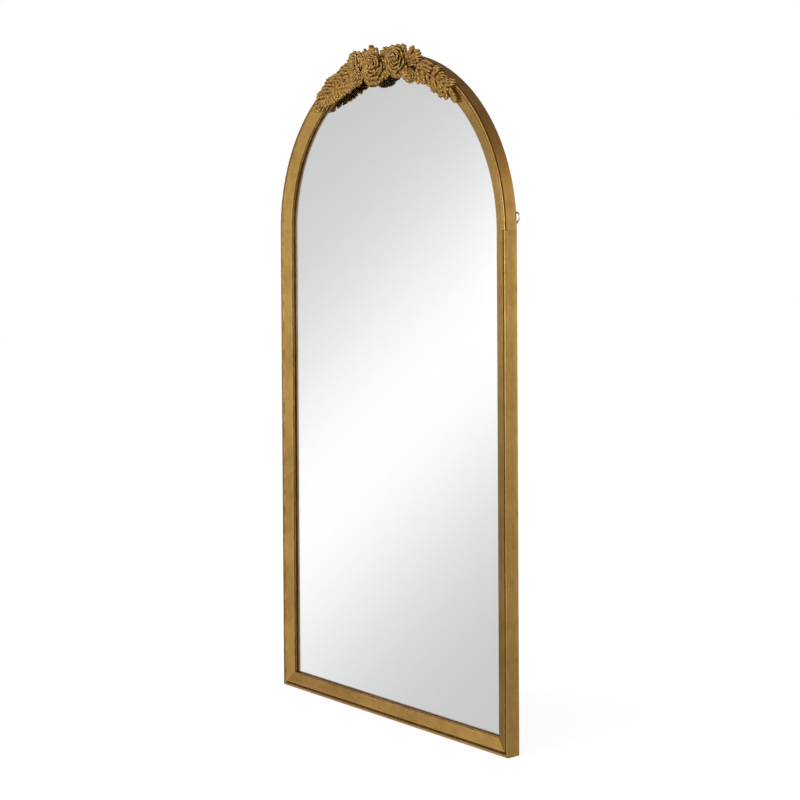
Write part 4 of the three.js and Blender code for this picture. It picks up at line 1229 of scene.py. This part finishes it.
# %% Carve the sprays
top_leaves = [
    bed([(90, 12, 34), (120, 8, 22), (142, 6, 16)], 4.5),
    leaf((90, 14), (119, -26), 20, 0.08, (5, 9)),
    leaf((94, 12), (154, -19), 28, 0.0, (4, 9)),
    leaf((98, 20), (159, -3), 24, -0.05, (3, 8)),
    leaf((90, 26), (130, 12), 24, -0.05, (2, 6)),
]
right_spray = [
    stem([(130, 18), (180, 23), (236, 27), (296, 24)], (6, 4), 4.5),
    bed([(140, 20, 50), (180, 14, 46), (240, 12, 46), (300, 18, 38)], 5.0),
    leaf((146, 16), (210, 6), 30, -0.08, (4, 9)),
    leaf((140, 30), (168, 58), 24, 0.06),
    leaf((206, 22), (233, -10), 22, -0.1),
    leaf((226, 24), (259, -2), 20, -0.1),
    leaf((244, 24), (276, 0), 18, -0.1),
    leaf((262, 24), (299, -7), 22, -0.1),
    leaf((162, 26), (191, 54), 26, 0.1),
    leaf((186, 28), (214, 50), 20, 0.1),
    leaf((208, 30), (247, 53), 28, 0.1),
    leaf((238, 30), (276, 52), 24, 0.1),
    leaf((260, 28), (299, 44), 24, 0.1),
    leaf((286, 22), (328, 27), 24, 0.05),
]
left_spray = [
    stem([(-131, 22), (-180, 26), (-236, 28), (-305, 26)], (6, 4), 3.5),
    bed([(-130, 8, 54), (-180, 12, 54), (-240, 14, 46), (-306, 20, 36)], 5.0),
    leaf((-128, 24), (-176, -2), 26, 0.12),
    leaf((-152, 26), (-200, 1), 24, 0.12),
    leaf((-176, 26), (-223, -1), 24, 0.12),
    leaf((-200, 26), (-244, -5), 24, 0.12),
    leaf((-222, 28), (-270, 2), 24, 0.12),
    leaf((-250, 28), (-296, 3), 24, 0.12),
    leaf((-276, 26), (-314, 14), 20, 0.08),
    leaf((-130, 30), (-146, 64), 28, -0.1),
    leaf((-152, 30), (-174, 65), 28, -0.1),
    leaf((-176, 30), (-202, 64), 28, -0.1),
    leaf((-200, 30), (-230, 62), 28, -0.1),
    leaf((-226, 30), (-256, 55), 26, -0.1),
    leaf((-250, 28), (-284, 46), 24, -0.08),
    leaf((-276, 26), (-314, 38), 22, -0.05),
    leaf((-290, 24), (-328, 27), 20),
]
carvings += [
    carve("leaves_top_right", top_leaves),
    carve("leaf_spray_right", right_spray),
    carve("leaf_spray_left", left_spray),
]

# %% [markdown]
# ### Hollows, rubbed edges, painted shade and the side to the glass
#
# Wax gathers in narrow folds and broad dips. Where little of the room is in sight, and on the
# sides that face up and back, away from the light, the carving gets painted shade as well. The
# points that face back, or hang over the glass no further forward than the moulding, only show
# in the mirror, and get bronze paint.

# %% Find the hollows and the rubbed edges
usual_dirt, ray_count, ray_reach = 0.15, 14, 26.0


def ramp(values, start, width):
    """0 before the start and 1 past the width after it."""
    return np.clip((values - start) / width, 0, 1)


def measure_relief(piece):
    """How far each point lies under the skin smoothed a little, and smoothed a lot."""
    shape, facing, edges = read_points(piece.data) / MM, read_facing(piece.data), read_edges(piece.data)
    fine = spread_out(shape, edges, 10)
    broad = spread_out(fine, edges, 50)
    under_fine = ((fine - shape) * facing).sum(axis=1)
    under_broad = ((broad - shape) * facing).sum(axis=1)
    return shape, facing, edges, under_fine, under_broad


def room_round(pieces):
    points, faces, offset = [], [], 0
    for piece in pieces:
        mesh = piece.data
        points.append(read_points(mesh) / MM)
        faces += [tuple(v + offset for v in face.vertices) for face in mesh.polygons]
        offset += len(mesh.vertices)
    return BVHTree.FromPolygons(np.concatenate(points).tolist(), faces)


def sheltered(shape, facing, edges, tree, every):
    """How much of the room in front of each point is closed off, from 0 to 1."""
    luck = np.random.default_rng(5)
    rays = luck.normal(size=(ray_count, 3))
    rays /= np.linalg.norm(rays, axis=1, keepdims=True)
    closed = np.zeros((len(shape), 2))
    for i in range(0, len(shape), every):
        normal = facing[i]
        start = Vector(shape[i] + normal * 0.5)
        hits = 0
        for ray in rays:
            way = ray + normal * 1.05
            hits += tree.ray_cast(start, Vector(way), ray_reach)[0] is not None
        closed[i] = hits / ray_count, 1
    closed = spread_out(closed, edges, every)
    return closed[:, 0] / np.maximum(closed[:, 1], 1e-6)


def facing_glass(shape, facing, edges):
    """1 on the side that only the mirror shows, 0 elsewhere, with a soft border."""
    turned_back = ramp(facing[:, 1] - 0.5 * np.abs(facing[:, 2]), 0.1, 0.4)
    inset = outer_radius - np.hypot(shape[:, 0], shape[:, 2] - spring)
    near_glass = ramp(inset, 38, 2) * ramp(shape[:, 1], front - 2, 2)
    return spread_out(np.maximum(turned_back, near_glass)[:, None], edges, 4)[:, 0]


# %% Measure the carvings
# The arcs of the CAD model stand in for the moulding under the carvings.
arch_parts = [o for o in scene.objects if o.name in ("arch_left", "arch_crown", "arch_right")]
around_crest = room_round(carvings + arch_parts)
for piece in carvings:
    shape, facing, edges, under_fine, under_broad = measure_relief(piece)
    shelter = sheltered(shape, facing, edges, around_crest, 5)
    hollow = ramp(under_fine, 0, 0.4) * 0.5 + ramp(under_broad, 0, 1.3) * 0.4
    # Painted shade: sheltered points count as hollows and are darkened.
    hollow = hollow + ramp(shelter, 0.42, 0.45) * 0.6
    # Painted shade on the sides that face up and back, away from the light.
    away = ramp(0.75 * facing[:, 2] + 0.65 * facing[:, 1], 0.1, 0.5)
    hollow = np.maximum(hollow, 0.6 * away * (facing[:, 2] > 0))
    behind = facing_glass(shape, facing, edges)
    hollow = (hollow + usual_dirt) * (1 - 0.8 * behind)
    # Raised points are rubbed, and also get a painted highlight.
    rubbed_and_highlight = ramp(-under_fine, 0, 0.6) * 0.6 + ramp(-under_broad, 0, 1.8) * 0.5
    carry_value(piece.data, "behind", behind)
    carry_value(piece.data, "hollow", np.clip(hollow, 0, 1))
    carry_value(piece.data, "rubbed_and_highlight", np.clip(rubbed_and_highlight, 0, 1))
    print(piece.name, "hollow at 25, 50, 75, 90 %:", np.percentile(hollow, (25, 50, 75, 90)).round(2))

# %% [markdown]
# ## The fittings on the back
#
# The hangers are pressed from plated steel strip. The ring is round wire bent to a D, whose bar
# turns in the rolled end of the strap. Two screws hold each strap. The finish is nickel over
# brushed steel: nearly even, with fine scratches and a duller, yellower bloom in places.

# %% Plated steel and plain steel
metal_wear, given, made = new_group(
    "metal_wear",
    [("Place", "Vector", (0, 0, 0))],
    [("Tone", "Float"), ("Height", "Float")],
)
tree = metal_wear
scratches = noise(tree, stretch(tree, given["Place"], (1, 1, 0.08)), 1800, 3)
tree.links.new(noise(tree, given["Place"], 70, 5), made["Tone"])
tree.links.new(scratches, made["Height"])


def steel(name, bright, dull, low, high):
    material, tree, shader = new_material(name)
    wear = place_group(tree, metal_wear, {"Place": object_place(tree)})
    share = remap(tree, wear["Tone"], 0.35, 0.7)
    between_colours(tree, shader, share, bright, dull)
    shader.inputs["Metallic"].default_value = 1
    rough = reckon(tree, "MULTIPLY_ADD", wear["Height"], 0.12, remap(tree, share, 0, 1, low, high))
    tree.links.new(rough, shader.inputs["Roughness"])
    emboss(tree, shader, wear["Height"], distance=0.0001, strength=0.5)
    return material


nickel = steel("nickel_plate", (0.66, 0.64, 0.6, 1), (0.5, 0.47, 0.42, 1), low=0.16, high=0.34)
plain_steel = steel("plain_steel", (0.5, 0.5, 0.5, 1), (0.33, 0.3, 0.28, 1), low=0.3, high=0.5)


# %% [markdown]
# The ring is a tube that follows a D. Its corners are rounded, because wire can't be bent to a
# sharp corner, and its ends meet in the middle of the bar, inside the rolled strap.

# %% Bend the rings
def closed_tube(line, radius, sides=16):
    line = np.array(line, float)
    ahead = np.roll(line, -1, axis=0) - np.roll(line, 1, axis=0)
    ahead /= np.linalg.norm(ahead, axis=1, keepdims=True)
    flat = np.array([0, 1.0, 0])
    outward = np.cross(ahead, flat)
    rings = [
        line + radius * (outward * math.cos(turn) + flat * math.sin(turn))
        for turn in np.arange(sides) * 2 * math.pi / sides
    ]
    return np.stack(rings, axis=1).reshape(-1, 3), skin(len(line), sides, closed=True)


def d_shape(radius, bar_rise, corner=3.2):
    """The middle line of the wire, with the bar at height 0 and the bow below it."""
    half = math.sqrt(radius**2 - bar_rise**2)
    lean = math.atan2(bar_rise, half)
    path = []
    for turn in np.linspace(lean, -math.pi - lean, 61):
        path.append(np.array([radius * math.cos(turn), 0, radius * math.sin(turn) - bar_rise]))
    for x in np.linspace(-half, half, 25)[1:-1]:
        path.append(np.array([x, 0, 0.0]))
    path = np.array(path)
    for _ in range(10):
        sharp = (path[:, 2] > -corner)[:, None] & (np.abs(path[:, 0]) > half - corner)[:, None]
        softer = (np.roll(path, 1, axis=0) + path + np.roll(path, -1, axis=0)) / 3
        path = np.where(sharp, softer, path)
    return path


hanger_inset, hinge_rise = 14.5, 41.0
hinge_x, hinge_y, hinge_z = outer_radius - hanger_inset, back, spring + hinge_rise
roll_outer, roll_inner = 3.9, 2.3
ring_radius, bar_rise, wire_radius = 17.5, 9.0, 2.0
for side, word in ((-1, "left"), (1, "right")):
    middle = np.array([side * hinge_x, hinge_y + roll_outer, hinge_z])
    points, faces = closed_tube(d_shape(ring_radius, bar_rise) + middle, wire_radius)
    ring = piece_from("ring_" + word, points * MM, faces, "ring_" + word, [nickel])
    smooth_sides(ring.data)
    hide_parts("hanger_ring_" + word)


# %% [markdown]
# The strap is one strip. Seen from the side it is a flat tongue whose upper end rolls over the
# bar of the ring. The rolled part is drawn as a section and given the strip's width, with the
# long edges slightly rounded, and its lower end is cut to a half round.

# %% Press the straps
strap_thick, strap_half, strap_low, roll_opening = 1.6, 7.0, -58.0, 0.35


def strap_section():
    """(height, distance from the wood) round the strip, hinge at height 0."""
    end = 2 * math.pi - math.asin(roll_inner / roll_outer) - roll_opening
    outer = [
        (roll_outer * math.sin(turn), roll_outer - roll_outer * math.cos(turn))
        for turn in np.linspace(0, end, 40)
    ]
    inner = [
        (roll_inner * math.sin(turn), roll_outer - roll_inner * math.cos(turn))
        for turn in np.linspace(end, 0, 34)
    ]
    return outer, inner


def strap(name, x):
    outer, inner = strap_section()
    loop = [(strap_low, 0.0)] + outer + inner + [(strap_low, strap_thick)]
    rings = []
    for turn in np.linspace(-math.pi / 2, math.pi / 2, 17):
        shift = strap_half * math.sin(turn)
        cut_back = strap_half * (1 - math.cos(turn))
        worn = 0.2 * (abs(shift) / strap_half) ** 12
        ring = []
        for up, away in loop:
            rise = cut_back if up == strap_low else 0
            if away <= strap_thick and up <= 0:
                away = min(away, strap_thick - worn)
            ring.append((x + shift, hinge_y + away, hinge_z + up + rise))
        rings.append(ring)
    points = np.array([point for ring in rings for point in ring])
    piece = piece_from(name, points * MM, skin(len(rings), len(loop)), "mirror", [nickel])
    smooth_sides(piece.data)
    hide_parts(name)


for side, word in ((-1, "left"), (1, "right")):
    strap("hanger_strap_" + word, side * hinge_x)

# %% [markdown]
# A screw is a turned body with a domed head. The cross for the driver is pressed into the head:
# points inside the arms of the cross are simply moved down.

# %% Turn the screws
def screw(name, at, shank, length, head, rise):
    profile = [(0.02, -length), (shank * 0.5, -length), (shank, -length + shank), (shank, -0.02)]
    profile += [(head, 0.0), (head, rise * 0.3)]
    for turn in np.linspace(0.1, 1, 14):
        dome = math.cos(turn * math.pi / 2)
        profile.append((max(head * dome, 0.02), rise * (0.3 + 0.7 * math.sin(turn * math.pi / 2))))
    points, faces = turned_body(profile, sides=56)
    arm, reach = head * 0.13, head * 0.55
    x, y, up = points.T
    in_arm = (np.abs(x) < arm) & (np.abs(y) < reach) | (np.abs(y) < arm) & (np.abs(x) < reach)
    far = np.hypot(x, y) / reach
    points[:, 2] = np.where(in_arm & (up > rise * 0.3), up - rise * 0.62 * (1 - 0.5 * far), up)
    placed = np.stack([points[:, 0] + at[0], points[:, 2] + at[1], -points[:, 1] + at[2]], axis=-1)
    piece = piece_from(name, placed * MM, faces, "mirror", [nickel])
    smooth_sides(piece.data)
    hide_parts(name)


head_gap, head_sunk = 0.3, 2.2
for side, word in ((-1, "left"), (1, "right")):
    for number, drop in ((1, 37.0), (2, 50.5)):
        at = (side * hinge_x, back + strap_thick + head_gap, hinge_z - drop)
        name = "hanger_screw_%s_%d" % (word, number)
        screw(name, at, shank=1.7, length=12.0, head=3.6, rise=2.2)
for word, along in (("left", -38.0), ("right", 52.2)):
    at = tuple(on_arch(hanger_inset, deep - head_sunk, along / outer_radius))
    screw("crest_screw_" + word, at, shank=2.2, length=44.4, head=4.6, rise=2.2)

# %% [markdown]
# Each wall pad is a rubber button with a rounded rim and a shallow dish in the middle.

# %% Mould the pads
rubber, tree, shader = new_material("rubber")
dusty = noise(tree, object_place(tree), 240, 4)
between_colours(tree, shader, dusty, (0.018, 0.018, 0.018, 1), (0.05, 0.048, 0.045, 1))
tree.links.new(remap(tree, dusty, 0.3, 0.7, 0.6, 0.85), shader.inputs["Roughness"])
emboss(tree, shader, dusty, distance=0.0002)

pad_profile = [(0.02, 0.0), (6.9, 0.0), (7.0, 0.2), (6.95, 1.2), (6.6, 2.4), (6.2, 2.85), (5.7, 3.0)]
pad_profile += [(5.0, 2.95), (4.4, 2.5), (2.5, 2.3), (0.02, 2.3)]
pad_height = 60.0
for side, word in ((-1, "left"), (1, "right")):
    points, faces = turned_body(pad_profile, sides=40)
    x, y, up = points.T
    placed = np.stack([x + side * hinge_x, back + up, -y + pad_height], axis=-1)
    pad = piece_from("wall_pad_" + word, placed * MM, faces, "mirror", [rubber])
    smooth_sides(pad.data, angle=50)
    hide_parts("wall_pad_" + word)

# %% [markdown]
# The backing is hardboard: brown, pressed from wood fibres, with a cloudy tone. The back
# carries the fine grid of the wire mesh it is pressed on.

# %% Cut the backing board
hardboard, tree, shader = new_material("hardboard")
place = object_place(tree)
fibres, cloud = noise(tree, place, 300, 7, 0.7), noise(tree, place, 7, 3)
colour = blend_colours(
    tree, remap(tree, fibres, 0.3, 0.7), (0.3, 0.19, 0.1, 1), (0.14, 0.08, 0.04, 1)
)
between_colours(tree, shader, remap(tree, cloud, 0.4, 0.8, 0, 0.5), colour, (0.2, 0.14, 0.09, 1))
tree.links.new(remap(tree, fibres, 0.3, 0.7, 0.7, 0.95), shader.inputs["Roughness"])
drawn = add_node(tree, "SeparateXYZ", {"Vector": place}).outputs
waves_per_metre = 2600
mesh_across = reckon(tree, "SINE", reckon(tree, "MULTIPLY", drawn["X"], waves_per_metre))
mesh_up = reckon(tree, "SINE", reckon(tree, "MULTIPLY", drawn["Z"], waves_per_metre))
pressed = reckon(tree, "MULTIPLY", mesh_across, mesh_up)
height = reckon(tree, "MULTIPLY_ADD", pressed, 0.4, fibres)
emboss(tree, shader, height, distance=0.0003, strength=0.6)
board_near, board_far = 22.2, 25.2
board = arched_sheet(
    "backing_board", pane_inset, board_near, board_far, bevel=0.4,
    materials=[hardboard],
)
smooth_sides(board.data)
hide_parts("backing_board")

# %% [markdown]
# The dowels, the splines and the steel points keep their CAD shapes, which are already right,
# and only get their finish.

# %% Finish the pieces that keep their CAD shape
kept_shapes = (("dowel", dowel_wood), ("corner_spline", dowel_wood), ("retaining", plain_steel))
for name, part in frame["nodes"].items():
    for start, material in kept_shapes:
        if name.startswith(start):
            part.data.materials.clear()
            part.data.materials.append(material)
